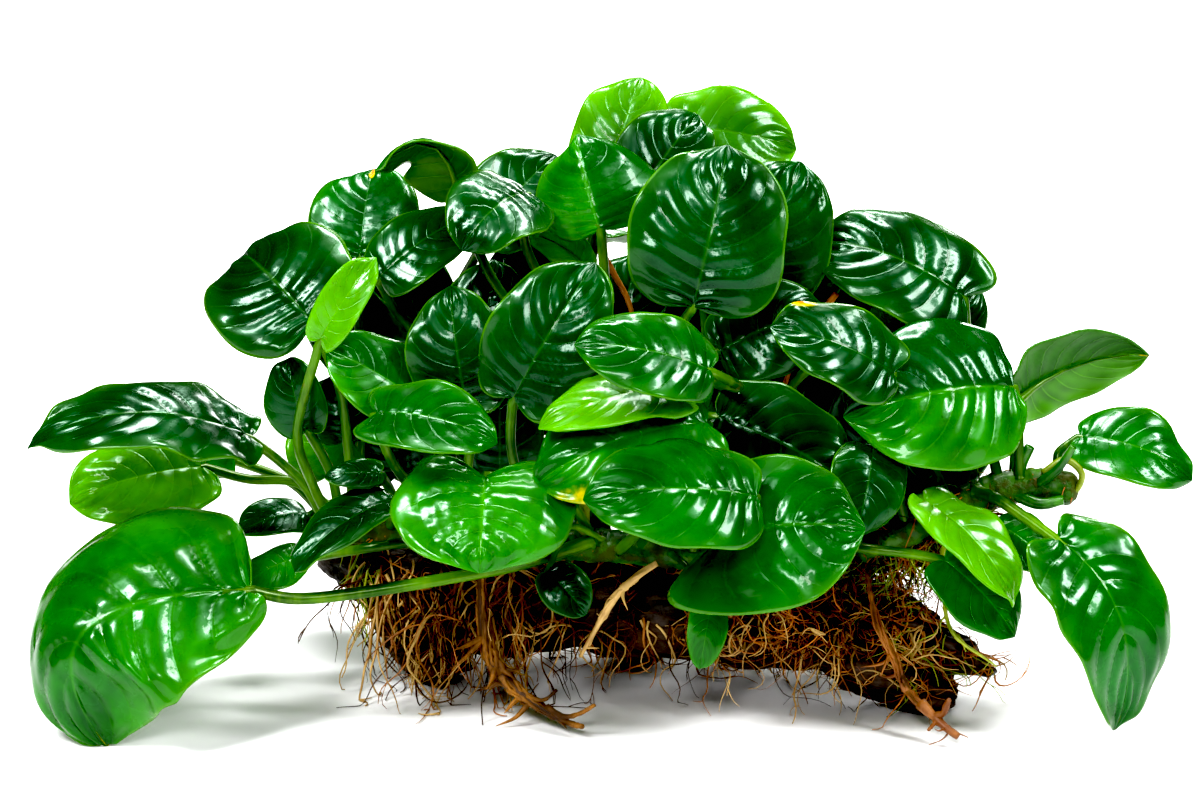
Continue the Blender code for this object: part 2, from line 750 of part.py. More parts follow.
def leans(along, side, normal, count):
    """Give directions in which a petiole can leave its blade, spread round the way back."""
    ways = [-along]
    for index in range(count):
        turn = index * 2.4
        open_angle = math.radians(25 + 100 * index / count)
        spoke = side * math.sin(turn) - normal * math.cos(turn)
        ways.append(spoke * math.sin(open_angle) - along * math.cos(open_angle))
    return ways


def best_course(item, slots, way_count, wanted, others, own, beads, stems):
    """Try many courses from these slots and give the cheapest."""
    base, along, side, normal = item.rib(0.0)
    base = base - along * item.radius * 0.6
    tries = []
    for slot in slots:
        foot, outward = slot[1:]
        if item.joins:
            foot = foot - outward * (item.radius + GAP + 1.0)
        courses = []
        if item.stem:
            via = [place(a, b, depth + item.push * 0.5) for a, b, depth in item.stem]
            courses.append(smooth_path([foot] + via[::-1] + [base], 21))
        else:
            reach = (base - foot).length
            start_pull = foot + (outward + Vector((0, 0, 0.6))).normalized() * reach * 0.3
            for pull in PULLS:
                for way in leans(along, side, normal, way_count):
                    end_pull = base + way * reach * pull
                    courses.append(bezier(foot, start_pull, base, end_pull, ROUTE_SAMPLES))
        for points in courses:
            cost = (slot[1] - wanted).length * 0.3 + near_cost(points, item, beads, stems)
            tries.append((cost, len(tries), slot, points))
    tries.sort()
    best = None
    best_cost = 1e9
    for cost, order, slot, points in tries:
        if cost >= best_cost:
            break
        cost += blade_cost(points, item, others, own, best_cost - cost)
        if cost < best_cost:
            best_cost = cost
            best = (slot, points)
    slot, points = best
    if excess(points, best_cost) > FREE_ENOUGH:
        eased = ease(points, item, others, beads, stems)
        cost = near_cost(eased, item, beads, stems)
        cost += blade_cost(eased, item, others, own, best_cost)
        if cost < best_cost:
            best = (slot, eased)
            best_cost = cost
    return best, excess(best[1], best_cost)


def excess(points, cost):
    """Give how much more a course costs than its length."""
    return cost - sum((b - a).length for a, b in zip(points, points[1:]))


def route_petioles(placed):
    """Lead each petiole from the rhizomes to its blade past everything in its way."""
    slots = foot_slots()
    beads = chain_beads(0.9)
    beads = (np.array([middle for middle, radius in beads]), np.array([r for m, r in beads]))
    stems = Stems()
    taken = []
    courses = {}
    order = sorted(range(len(LEAVES)), key=lambda index: LEAVES[index].turn())
    for index in order:
        item = LEAVES[index]
        others = tree(placed[:index] + placed[index + 1:])
        own = tree([placed[index]])
        wanted = place(item.foot[0], item.foot[1], -14) if item.foot else item.start
        free = [slot for slot in slots if not item.joins or slot[0] == item.joins]
        free = [slot for slot in free if all((slot[1] - other).length > FOOT_SPACING for other in taken)]
        free.sort(key=lambda slot: (slot[1] - wanted).length)
        for slot_count, way_count in (FIRST_TRY, SECOND_TRY):
            best, over = best_course(item, free[:slot_count], way_count, wanted, others, own,
                                     beads, stems)
            if over < FREE_ENOUGH:
                break
        else:
            print("petiole not free:", item.name, round(over))
        slot, points = best
        item.outward = slot[2]
        taken.append(slot[1])
        stems.add(points + straight_runs(points, item.bends), item.radius)
        courses[item.name] = points
    return courses


def few(points, count):
    """Pick evenly spaced points out of many."""
    last = len(points) - 1
    return [points[round(index * last / (count - 1))] for index in range(count)]


def make_object(name, verts, faces, group):
    """Turn a shape in millimetres into an object in metres."""
    mesh = bpy.data.meshes.new(name)
    scaled = [(Vector(point) + FOOTPRINT_SHIFT) * MM for point in verts]
    mesh.from_pydata([tuple(point) for point in scaled], [], faces)
    mesh.validate()
    mesh.update()
    item = bpy.data.objects.new(name, mesh)
    group.objects.link(item)
    return item


def finish(item, colour, roughness):
    """Give an object its material."""
    name = "finish_" + item.name
    material = bpy.data.materials.new(name)
    material.use_nodes = True
    shader = material.node_tree.nodes["Principled BSDF"]
    shader.inputs["Base Color"].default_value = (*colour, 1.0)
    shader.inputs["Roughness"].default_value = roughness
    item.data.materials.clear()
    item.data.materials.append(material)


def lumpy_rings(stations, sides, rough, seed, count):
    """Give uneven rings along stations of (middle, (half depth, half height)), on the floor."""
    middles = [Vector(point) for point, size in stations]
    sizes = [Vector((size[0], size[1], 0)) for point, size in stations]
    middles = smooth_path(middles, count)
    sizes = smooth_path(sizes, count)
    rings = []
    for index, middle in enumerate(middles):
        along = middles[min(index + 1, count - 1)] - middles[max(index - 1, 0)]
        along.normalize()
        side = Vector((0, 0, 1)).cross(along)
        if side.length < 0.3:
            side = Vector((0, 1, 0))
        side.normalize()
        up = along.cross(side).normalized()
        ring = []
        for corner in range(sides):
            turn = math.tau * corner / sides
            wobble = noise.noise(Vector((math.cos(turn), math.sin(turn), 0)) * 1.4
                                 + middle * 0.05 + Vector((0, 0, seed * 7.3)))
            swell = 1 + rough * wobble
            point = middle + side * math.cos(turn) * sizes[index].x * swell
            point = point + up * math.sin(turn) * sizes[index].y * swell
            point.z = max(point.z, 0.0)
            ring.append(point)
        rings.append(ring)
    return rings


def fat_copy(name, rings, cutters, grow):
    """Make a slightly fatter copy of a lofted piece to cut its neighbours with."""
    fat = []
    for ring in rings:
        middle = sum(ring, Vector()) / len(ring)
        fat.append([point + (point - middle).normalized() * grow for point in ring])
    first = sum(fat[0], Vector()) / len(fat[0])
    second = sum(fat[1], Vector()) / len(fat[1])
    fat[0] = [point + (first - second).normalized() * grow for point in fat[0]]
    last = sum(fat[-1], Vector()) / len(fat[-1])
    before = sum(fat[-2], Vector()) / len(fat[-2])
    fat[-1] = [point + (last - before).normalized() * grow for point in fat[-1]]
    verts, faces = loft(fat)
    cutter = make_object("cutter_" + name, verts, faces, cutters)
    cutter.hide_render = True
    cutter.display_type = "WIRE"
    return cutter


def boolean(item, other, operation):
    """Cut or join an object with another and keep the result as its mesh."""
    for solver in ("EXACT", "MANIFOLD"):
        modifier = item.modifiers.new("boolean", "BOOLEAN")
        modifier.operation = operation
        modifier.object = other
        modifier.solver = solver
        deps = bpy.context.evaluated_depsgraph_get()
        mesh = bpy.data.meshes.new_from_object(item.evaluated_get(deps))
        item.modifiers.clear()
        if mesh.polygons:
            item.data = mesh
            break


def largest_body(item):
    """Drop the crumbs that a cut may leave and keep the largest body."""
    shape = bmesh.new()
    shape.from_mesh(item.data)
    bmesh.ops.remove_doubles(shape, verts=shape.verts, dist=0.00002)
    bmesh.ops.dissolve_degenerate(shape, edges=shape.edges, dist=0.00002)
    bodies = []
    seen = set()
    for vert in shape.verts:
        if vert in seen:
            continue
        body = [vert]
        seen.add(vert)
        for near in body:
            for edge in near.link_edges:
                other = edge.other_vert(near)
                if other not in seen:
                    seen.add(other)
                    body.append(other)
        bodies.append(body)
    bodies.sort(key=len, reverse=True)
    crumbs = [vert for body in bodies[1:] for vert in body]
    bmesh.ops.delete(shape, geom=crumbs, context="VERTS")
    shape.to_mesh(item.data)
    shape.free()


# How uneven each kind of piece is, as a share of its thickness
WOOD_ROUGH = 0.22
RHIZOME_ROUGH = 0.12
ROOT_ROUGH = 0.3
MAT_ROUGH = 0.5

BARK = (0.020, 0.012, 0.008)
RHIZOME_GREEN = (0.080, 0.110, 0.020)
ROOT_TAN = (0.250, 0.130, 0.050)


def build_wood(group, cutters):
    """Make the log and its limbs, each limb cut to meet the log."""
    fat = []
    for index, (name, stations) in enumerate(WOOD.items()):
        log = name == "wood_log"
        rings = lumpy_rings(stations, 10 if log else 8, WOOD_ROUGH, index, 9 if log else 5)
        if name in LIMB_ENDS_FLAT:
            for point in rings[-1]:
                point.z = 0.0
        verts, faces = loft(rings)
        item = make_object(name, verts, faces, group)
        for cutter in fat:
            boolean(item, cutter, "DIFFERENCE")
        largest_body(item)
        fat.append(fat_copy(name, rings, cutters, GAP))
        finish(item, BARK, 0.8)
    return fat


def build_rhizomes(group, cutters, wood_cutters):
    """Make the rhizomes, each cut to lie on the wood."""
    made = {}
    fat = []
    for index, (name, (route, radius)) in enumerate(RHIZOMES.items()):
        stations = [(point, (radius, radius)) for point in route]
        rings = lumpy_rings(stations, 8, RHIZOME_ROUGH, 20 + index, 2 * len(route) - 1)
        verts, faces = loft(rings)
        item = make_object(name, verts, faces, group)
        for cutter in wood_cutters:
            boolean(item, cutter, "DIFFERENCE")
        largest_body(item)
        finish(item, RHIZOME_GREEN, 0.6)
        made[name] = item
        fat.append(fat_copy(name, rings, cutters, GAP))
    return made, fat


def build_roots(group, cutters, clear_of):
    """Make the thick roots, cut clear of the wood that they lie against."""
    fat = []
    for index, (name, stations) in enumerate(ROOTS.items()):
        laid = [(place(*point), (radius, radius)) for point, radius in stations]
        rings = lumpy_rings(laid, 6, ROOT_ROUGH, 40 + index, 2 * len(laid) - 1)
        verts, faces = loft(rings)
        item = make_object(name, verts, faces, group)
        for cutter in clear_of:
            boolean(item, cutter, "DIFFERENCE")
        largest_body(item)
        fat.append(fat_copy(name, rings, cutters, GAP))
        finish(item, ROOT_TAN, 0.7)
    return fat


def build_mats(group, clear_of):
    """Make each mat of fine roots as one tufted solid that hugs the wood."""
    for index, (name, stations) in enumerate(MATS.items()):
        rings = lumpy_rings(stations, 6, MAT_ROUGH, 60 + index, len(stations) + 3)
        for row, ring in enumerate(rings):
            lowest = min(ring, key=lambda point: point.z)
            lowest.z -= MAT_TUFTS if row % 2 else 0.0
            for point in ring:
                point.z = max(point.z, FLOOR_CLEAR)
        verts, faces = loft(rings)
        item = make_object(name, verts, faces, group)
        for cutter in clear_of:
            boolean(item, cutter, "DIFFERENCE")
        largest_body(item)
        finish(item, ROOT_TAN, 0.9)


def build_leaves(group, cutters, rhizomes, courses):
    """Make every leaf, and join the small and hidden ones to the rhizome they grow from."""
    for item in LEAVES:
        path = few(courses[item.name], item.bends)
        rings = petiole_rings(item, path) + blade_rings(item, BLADE_THICK)
        verts, faces = loft(rings, item.blade(1.0, 0.0))
        if item.joins:
            graft = make_object(item.name, verts, faces, cutters)
            graft.hide_render = True
            graft.display_type = "WIRE"
            boolean(rhizomes[item.joins], graft, "UNION")
        else:
            made = make_object(item.name, verts, faces, group)
            finish(made, TONES[item.tone], 0.3)


def main():
    for item in list(bpy.data.objects):
        bpy.data.objects.remove(item)
    group = bpy.data.collections.new("anubias_on_wood")
    cutters = bpy.data.collections.new("cutters")
    bpy.context.scene.collection.children.link(group)
    bpy.context.scene.collection.children.link(cutters)
    placed = settle()
    courses = route_petioles(placed)
    wood_cutters = build_wood(group, cutters)
    rhizomes, rhizome_cutters = build_rhizomes(group, cutters, wood_cutters)
    root_cutters = build_roots(group, cutters, wood_cutters + rhizome_cutters)
    build_mats(group, wood_cutters + rhizome_cutters + root_cutters)
    build_leaves(group, cutters, rhizomes, courses)


if __name__ == "__main__":
    main()
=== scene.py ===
"""Anubias growing on driftwood, dressed over its solids: blades, petioles, rhizomes, roots, wood.

The solids give where everything stands. Lengths in the layout are millimetres and a place is
given by how far across and how high it is seen from the front, and by its depth.
"""
import math
import random

import bmesh
import bpy
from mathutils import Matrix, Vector, noise
from mathutils.bvhtree import BVHTree
from mathutils.kdtree import KDTree


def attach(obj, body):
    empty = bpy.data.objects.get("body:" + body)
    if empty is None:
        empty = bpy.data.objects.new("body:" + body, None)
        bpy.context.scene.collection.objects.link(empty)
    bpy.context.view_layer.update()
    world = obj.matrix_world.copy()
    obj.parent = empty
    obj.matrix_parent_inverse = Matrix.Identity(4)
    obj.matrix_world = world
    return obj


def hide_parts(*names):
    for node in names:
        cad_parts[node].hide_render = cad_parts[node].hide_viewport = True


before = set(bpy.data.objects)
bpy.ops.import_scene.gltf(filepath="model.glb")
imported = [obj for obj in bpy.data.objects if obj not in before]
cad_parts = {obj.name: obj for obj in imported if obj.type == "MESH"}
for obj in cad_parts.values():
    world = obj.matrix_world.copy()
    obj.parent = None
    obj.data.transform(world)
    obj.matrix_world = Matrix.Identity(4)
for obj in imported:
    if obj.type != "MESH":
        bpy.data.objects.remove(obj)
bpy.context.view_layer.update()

bl_info = {
    "name": "Anubias on Driftwood",
    "version": (1, 0, 0),
    "blender": (4, 5, 0),
    "location": "View3D > Sidebar > Anubias",
    "description": "Wet leaves, rhizomes, roots and driftwood of one aquarium plant",
    "category": "Add Mesh",
}

MM = 0.001

# The view that the layout is drawn in
VIEW_TILT = math.radians(15)
VIEW_DISTANCE = 1100.0
VIEW_HEIGHT = 88.0

# Moves the finished plant so that the middle of its box stands over the origin
FOOTPRINT_SHIFT = Vector((-4.2, 1.0, 0.0))

BLADE_THICK = 0.55
FLOOR_CLEAR = 0.0007
PETIOLE = 1.5
MOST_PUSH = 60


def place(across, up, depth):
    """Give the point that is seen at (across, up) and lies at this depth."""
    sin_tilt = math.sin(VIEW_TILT)
    cos_tilt = math.cos(VIEW_TILT)
    height = up * (VIEW_DISTANCE + depth * cos_tilt) - VIEW_DISTANCE * depth * sin_tilt
    height /= VIEW_DISTANCE * cos_tilt + up * sin_tilt
    reach = 1 + (depth * cos_tilt - height * sin_tilt) / VIEW_DISTANCE
    return Vector((across * reach, depth, height + VIEW_HEIGHT))


def facing(azimuth, elevation):
    """Give the direction at this azimuth (0 to the viewer, 90 to the right) and elevation."""
    azimuth = math.radians(azimuth)
    elevation = math.radians(elevation)
    flat = math.cos(elevation)
    return Vector((math.sin(azimuth) * flat, -math.cos(azimuth) * flat, math.sin(elevation)))


# The form that all blades share: where they are widest, the notch between the lobes, and waves
WIDEST = 0.38
NOTCH = 0.9
BASE_ROUND = 0.85
WAVES = 9.0
WAVE_OFFSET = 2.0


class Leaf:
    """One leaf: where its blade starts and ends, which way its top faces, and its form."""

    def __init__(self, name, base, tip, width, face, tone="mature", **form):
        self.name = name
        self.base = base
        self.tip = tip
        self.width = width
        self.face = facing(*face)
        self.tone = tone
        self.middle = form.get("middle")
        self.arch = form.get("arch", 0.10)
        self.fold = form.get("fold", 0.08)
        self.dome = form.get("dome", 0.10)
        self.wave = form.get("wave", 0.02)
        self.lobe = form.get("lobe", 0.14)
        self.point = form.get("point", 0.90)
        self.straight = form.get("straight", 0.0)
        self.skew = form.get("skew", 0.0)
        self.radius = form.get("radius", PETIOLE)
        self.joins = form.get("joins")
        self.hidden = form.get("hidden", False)
        self.push = 0.0
        self.lay()

    def lay(self):
        """Work out the midrib's three points for the present push."""
        if self.hidden:
            outward = Vector((self.tip[0], self.tip[1], 0)).normalized() * self.push
            self.start = Vector(self.base) + outward
            self.end = Vector(self.tip) + outward
            scale = 1.0
        else:
            self.start = place(self.base[0], self.base[1], self.base[2] + self.push)
            self.end = place(self.tip[0], self.tip[1], self.tip[2] + self.push)
            scale = 1 + self.start.y / VIEW_DISTANCE
        self.span = self.width * scale
        along = self.end - self.start
        self.length = along.length
        normal = self.face - along * (self.face.dot(along) / along.length_squared)
        self.chord = (self.start + self.end) / 2 + normal.normalized() * self.arch * self.length
        self.mid = self.chord
        if self.middle:
            self.mid = place(self.middle[0], self.middle[1], self.middle[2] + self.push)

    def rib(self, s, v=0.0):
        """Give the midrib's point, direction, side and normal at s, which may pass its ends.

        Away from the midrib, at v, the curve is nearer to the chord if the leaf says so.
        """
        t = min(max(s, 0.0), 1.0)
        mid = self.mid.lerp(self.chord, self.straight * v * v)
        point = self.start * (1 - t) * (1 - 2 * t) + mid * 4 * t * (1 - t)
        point += self.end * t * (2 * t - 1)
        along = self.start * (4 * t - 3) + mid * (4 - 8 * t) + self.end * (4 * t - 1)
        point += along * (s - t)
        along.normalize()
        normal = (self.face - along * self.face.dot(along)).normalized()
        return point, along, normal.cross(along), normal

    def blade(self, u, v, lift=0.0):
        """Give the blade's point at u from base to tip and v across, from -1 to 1."""
        turn = math.pi * u
        reach = WIDEST + self.lobe if u < 0.5 else 1 - WIDEST
        margin = WIDEST - reach * math.cos(turn)
        margin += self.lobe * max(0.0, 1 - turn / NOTCH) ** 2
        centre = u * (0.8 + 0.2 * u)
        s = centre + (margin - centre) * abs(v) ** 1.5
        half = self.span / 2 * math.sin(turn) ** (BASE_ROUND if u < 0.5 else self.point)
        half *= 1 + self.skew * v * (1 - u)
        point, along, side, normal = self.rib(s, v)
        rise = self.fold * half * abs(v) - self.dome * half * v * v
        swing = math.sin(WAVES * u + (WAVE_OFFSET if v > 0 else 0.0))
        swing *= min(1.0, u / 0.05, (1 - u) / 0.05)
        rise += self.wave * self.span * v * v * swing
        return point + side * (v * half) + normal * (rise + lift)


def leaf(*row, **form):
    """Add a leaf to the plant."""
    LEAVES.append(Leaf(*row, **form))


# Woody pieces and rhizomes: points along the middle with the half depth and half height there
WOOD = {
    "wood_log": [
        ((-84, 10, 38), (4, 5)),
        ((-68, 7, 32), (13, 12)),
        ((-48, 3, 28), (20, 17)),
        ((-18, -2, 28), (22, 18)),
        ((18, -6, 28), (23, 18)),
        ((50, -12, 27), (22, 18)),
        ((78, -17, 25), (17, 15)),
    ],
    "wood_left_lump": [
        ((-60, 4, 28), (13, 12)),
        ((-54, 1, 14), (13, 12)),
        ((-49, -2, 5), (11, 10)),
        ((-47, -3, 0), (9, 8)),
    ],
    "wood_back_foot": [
        ((6, 8, 24), (12, 12)),
        ((12, 24, 14), (11, 10)),
        ((17, 34, 5), (9, 8)),
        ((19, 38, 0), (8, 7)),
    ],
    "wood_right_foot": [
        ((66, -15, 24), (15, 14)),
        ((82, -22, 13), (13, 12)),
        ((95, -27, 6.5), (10, 8)),
        ((107, -28, 4), (5, 4.5)),
    ],
    "wood_right_prong": [
        ((74, -16, 30), (12, 11)),
        ((92, -19, 24), (9, 8)),
        ((106, -23, 16), (6, 5.5)),
        ((118, -26, 10), (2.4, 2.4)),
    ],
}

RHIZOMES = {
    "rhizome_left": ([(-84, -6, 52), (-68, -9, 50), (-50, -14, 50), (-32, -18, 51)], 4.6),
    "rhizome_middle": ([(-20, -22, 50), (0, -25, 50), (24, -28, 49), (48, -30, 49), (66, -30, 50)], 5.0),
    "rhizome_right": (
        [(76, -20, 46), (92, -22, 54), (108, -20, 62), (124, -20, 67), (142, -20, 66)],
        5.0,
    ),
    "rhizome_back_left": ([(-62, 20, 46), (-40, 24, 49), (-18, 24, 50)], 4.4),
    "rhizome_back_right": ([(-4, 24, 50), (20, 22, 50), (44, 15, 50), (66, 8, 48)], 4.6),
    "rhizome_crown": ([(6, -2, 52), (9, 0, 68), (12, 3, 84), (14, 6, 98)], 4.6),
    "rhizome_crown_left": ([(-44, 4, 52), (-47, 6, 66), (-50, 8, 80)], 4.2),
}

# Thick roots: (across, up, depth) and radius
ROOTS = {
    "root_front_left": [
        ((-36, -46.5, -27), 1.9),
        ((-35.5, -60, -31), 2.3),
        ((-33, -77, -34), 2.6),
        ((-24, -88, -40), 2.1),
        ((-10, -97, -50), 0.9),
    ],
    "root_front_middle": [
        ((17, -49, -40), 1.5),
        ((11, -53, -42), 1.7),
        ((4, -60, -44), 1.5),
        ((-6, -77, -42), 0.8),
    ],
    "root_right": [
        ((80, -52, -31), 1.6),
        ((83, -66, -42), 1.9),
        ((89, -79, -46), 1.9),
        ((93, -88, -50), 1.6),
        ((107, -101, -62), 0.7),
    ],
    "root_right_green": [
        ((103, -43, -30), 1.3),
        ((103, -57, -34), 1.3),
        ((106, -70, -38), 1.1),
        ((119, -80, -44), 0.5),
    ],
    "root_back": [
        ((33, -30, 34), 1.7),
        ((36, -44, 42), 1.8),
        ((40, -56, 48), 1.4),
        ((48, -64, 58), 0.7),
    ],
}

LEAVES = []

# Left side
leaf("leaf_left_long", (-105, -11, -15), (-170, -12, -24), 36, (-8, 66), "dark", arch=0.15,
     point=1.25, lobe=0.12)
leaf("leaf_left_big", (-105, -57, -48), (-149, -103, -62), 66, (-22, 36), "bright", lobe=0.1,
     middle=(-154, -69, -62), radius=1.8, point=0.95, fold=0.0, dome=0.2, straight=0.45,
     skew=-0.55)
leaf("leaf_left_light", (-119, -20, -2), (-158, -30, -8), 31, (-12, 42), "young", lobe=0.2)
leaf("leaf_left_flap", (-110, -17, 8), (-134, -8, 4), 24, (10, 55), "bright",
     joins="rhizome_left")
leaf("leaf_left_narrow", (-88, -34, 14), (-108, -40, 8), 17, (-20, 62), "dark",
     joins="rhizome_left")
leaf("leaf_left_small", (-90, -47, -12), (-107, -56, -16), 17, (-15, 48), "bright",
     joins="rhizome_left")
leaf("leaf_left_low_dark", (-62, -30, -40), (-91, -50, -54), 20, (-25, 62), "dark", fold=0.2)
leaf("leaf_upper_left_dark", (-86, 23, -26), (-107, 44, 2), 46, (-22, 46), "dark", arch=0.14,
     lobe=0.14)
leaf("leaf_upper_left_young", (-84, 18, -40), (-68, 42, -36), 14, (-10, 15), "young", fold=0.3)
leaf("leaf_top_left", (-72, 43, -2), (-68, 69, 18), 34, (-8, 42), "mature")
leaf("leaf_top_left_underside", (-42, 62, -4), (-67, 70, -10), 30, (170, 62), "mature",
     middle=(-51, 77, -5), fold=-0.2, lobe=0.12)
leaf("leaf_top_left_shiny", (-66, 37, -20), (-40, 55, -8), 24, (4, 48), "dark")

# Top
leaf("leaf_top_behind_fold", (-34, 50, 8), (-14, 73, 18), 30, (0, 42), "dark",
     joins="rhizome_crown_left")
leaf("leaf_top_drape", (-22, 62, -12), (-41, 46, -28), 32, (-12, 40), "dark", arch=0.2)
leaf("leaf_top_folded", (0, 51, -22), (-7, 79, -8), 38, (-12, 18), "bright", fold=-0.45)
leaf("leaf_top_light", (2, 66, 2), (12, 96, 14), 29, (-4, 24), "young")
leaf("leaf_top_right_light", (22, 82, 16), (58, 76, 20), 29, (14, 30), "young")
leaf("leaf_top_dark", (10, 60, -8), (29, 85, 6), 30, (6, 32), "dark")
leaf("leaf_top_round", (28, 28, -38), (38, 75, -24), 49, (4, 20), "dark", dome=0.16,
     point=0.85, lobe=0.1)
leaf("leaf_behind_round", (38, 28, -16), (60, 70, -4), 42, (26, 30), "dark")
leaf("leaf_right_of_round", (42, 24, -2), (67, 56, 8), 38, (38, 30), "dark")
leaf("leaf_under_round", (36, 15, -18), (66, 28, -12), 30, (24, 32), "dark",
     joins="rhizome_crown")

# Right side
leaf("leaf_upper_right", (109, 31, -6), (66, 48, 4), 38, (4, 44), "dark", arch=0.14,
     lobe=0.28)
leaf("leaf_right_curled", (88, 8, -38), (53, 22, -42), 30, (-4, 44), "dark", wave=0.05)
leaf("leaf_right_large", (124, 4, -20), (75, -4, -34), 49, (2, 34), "bright", arch=0.14,
     dome=0.2, lobe=0.1)
leaf("leaf_far_right_upper", (126, 1, 4), (163, 14, 12), 27, (170, 24), "bright", arch=0.14)
leaf("leaf_far_right", (144, -11, -12), (177, -23, -18), 27, (18, 46), "mature", arch=0.14)
leaf("leaf_far_right_droop", (137, -41.5, -40), (155.5, -98, -50), 40, (30, 30), "mature",
     middle=(156, -66, -52), radius=1.8, point=1.2)
leaf("leaf_right_wavy", (97, -30, -42), (124, -60, -54), 25, (44, 44), "young", wave=0.06,
     fold=0.25)
leaf("leaf_right_low", (103, -48, -42), (124, -70, -50), 24, (18, 34), "bright")
leaf("leaf_right_crown_small", (119, -37, -28), (135, -50, -35), 18, (0, 46), "bright",
     joins="rhizome_right")
leaf("leaf_right_underside", (90, 14, 10), (88, 32, 16), 20, (178, 40), "bright",
     joins="rhizome_right")

# Front
leaf("leaf_front_right_dark", (82, -14, -36), (77, -40, -48), 24, (8, 24), "dark")
leaf("leaf_front_right_shiny", (35, -5, -42), (75, -25, -50), 34, (10, 34), "dark")
leaf("leaf_front_lowest", (37, -40, -58), (78, -38, -62), 49, (4, 40), "mature", lobe=0.7,
     dome=0.2, skew=-0.12)
leaf("leaf_front_shiny", (47, -29, -66), (-3, -29, -74), 38, (-6, 44), "mature", dome=0.2,
     lobe=0.12)
leaf("leaf_front_heart", (-34.5, -23, -58), (-36, -50.5, -76), 56, (0, 48), "bright", lobe=0.50,
     dome=0.24, point=0.85)
leaf("leaf_front_green", (32, -7, -50), (-18, -24, -62), 38, (-6, 40), "bright", dome=0.12,
     arch=0.16)
leaf("leaf_front_light", (26, 3, -48), (-17, -7, -58), 24, (0, 58), "young")
leaf("leaf_front_bright", (33, 9, -54), (-6, 17, -58), 29, (0, 44), "mature", dome=0.2,
     wave=0.04)
leaf("leaf_front_large_dark", (-26, 0.5, -50), (-2.5, 40, -40), 36, (-4, 22), "dark")
leaf("leaf_front_left_dark", (-40, -1.5, -38), (-45, 33, -30), 31, (-8, 22), "dark")
leaf("leaf_front_left_green", (-55, 0, -36), (-81, 15, -38), 26, (-18, 42), "bright")
leaf("leaf_front_left_curved", (-67, -4, -50), (-32, -12, -56), 26, (0, 52), "mature",
     arch=0.12, lobe=0.25)
leaf("leaf_left_curled", (-88, -9, -28), (-93, 12, -24), 20, (-28, 24), "dark", fold=0.25)
leaf("leaf_left_inner_dark", (-76, -12, -14), (-79, 8, -6), 22, (-4, 26), "dark",
     joins="rhizome_left")
leaf("leaf_left_backlit", (-81, -22, 8), (-90, -7, 14), 18, (0, 24), "young",
     joins="rhizome_left")
leaf("leaf_left_tiny", (-66, -22, -36), (-82, -23, -38), 10, (0, 44), "dark",
     joins="rhizome_left")
leaf("leaf_front_hanging", (33.5, -59.5, -50), (30, -80, -54), 12, (0, 16), "bright",
     joins="rhizome_middle", dome=0.02, radius=1.0)
leaf("leaf_front_dull", (-15.5, -51.5, -42), (-4.5, -64, -46), 15, (0, 34), "dark",
     joins="rhizome_middle", radius=1.0)
leaf("leaf_inner_underside", (-4, 40, -6), (-20, 50, -10), 16, (176, 40), "bright",
     joins="rhizome_crown", radius=1.0)

# The back of the plant, in rows that lean outward: height, reach, blade length, azimuths
BACK_ROWS = (
    ("low", 58, 66, 44, (112, 142, 172, 202, 230)),
    ("mid", 92, 56, 42, (130, 170, 212)),
    ("high", 128, 40, 38, (120, 156, 192, 222)),
)
BACK_STRETCH = 1.45
BACK_CENTRE_X = 6
BACK_TONES = ("dark", "mature", "bright")


def back_leaves():
    """Add the leaves behind, row by row, each blade hanging over the row below it."""
    count = 0
    for row, height, reach, length, azimuths in BACK_ROWS:
        for azimuth in azimuths:
            outward = facing(azimuth, 0)
            outward.x *= BACK_STRETCH
            lean = 0.5 + 0.5 * noise.noise((azimuth * 0.13, height * 0.1, 3.0))
            base = outward * (reach - 0.35 * length) + Vector((BACK_CENTRE_X, 0, height + 10 * lean))
            tip = outward * (reach + 0.40 * length) + Vector((BACK_CENTRE_X, 0, height - 18 * lean))
            count += 1
            leaf(f"leaf_back_{row}_{count}", tuple(base), tuple(tip), length * (0.72 + 0.16 * lean),
                 (azimuth, 48), BACK_TONES[count % len(BACK_TONES)], hidden=True, arch=0.12,
                 joins="rhizome_back_left" if base.x < 0 else "rhizome_back_right")


back_leaves()

# Dark leaves inside the plant: where the blade's middle is seen, its depth and its azimuth
INNER_LEAVES = (
    (-74, 22, 8, -30, "rhizome_crown_left"),
    (-58, 34, 14, -12, "rhizome_crown_left"),
    (-64, -8, 0, -6, "rhizome_left"),
    (-34, 26, 6, 4, "rhizome_crown_left"),
    (-22, 33, 11, -8, "rhizome_crown"),
    (-16, 8, 4, -10, "rhizome_crown"),
    (7, 28, 17, 8, "rhizome_crown"),
    (48, 4, 6, 10, "rhizome_back_right"),
    (62, -14, 2, 14, "rhizome_right"),
    (72, 30, 14, 22, "rhizome_back_right"),
    (84, -2, 2, 18, "rhizome_right"),
    (100, 18, 12, 30, "rhizome_right"),
    (104, -14, -4, 24, "rhizome_right"),
    (-30, -8, 2, 0, "rhizome_crown_left"),
    (64, 6, 6, 16, "rhizome_back_right"),
    (30, 20, 2, 10, "rhizome_crown"),
    (36, -6, 6, 8, "rhizome_crown"),
    (98, -30, 2, 20, "rhizome_right"),
)
INNER_REACH = 15
INNER_WIDTH = 27
INNER_LEAN = 30


def inner_leaves():
    """Add the dark leaves that close the view into the plant, each facing the viewer."""
    for count, (across, up, depth, azimuth, rhizome) in enumerate(INNER_LEAVES):
        sway = INNER_REACH * math.sin(math.radians(azimuth * 2))
        leaf(f"leaf_inner_{count}", (across - sway, up - INNER_REACH, depth - 3),
             (across + sway, up + INNER_REACH, depth + 5), INNER_WIDTH, (azimuth, INNER_LEAN),
             "dark", joins=rhizome, radius=1.1)


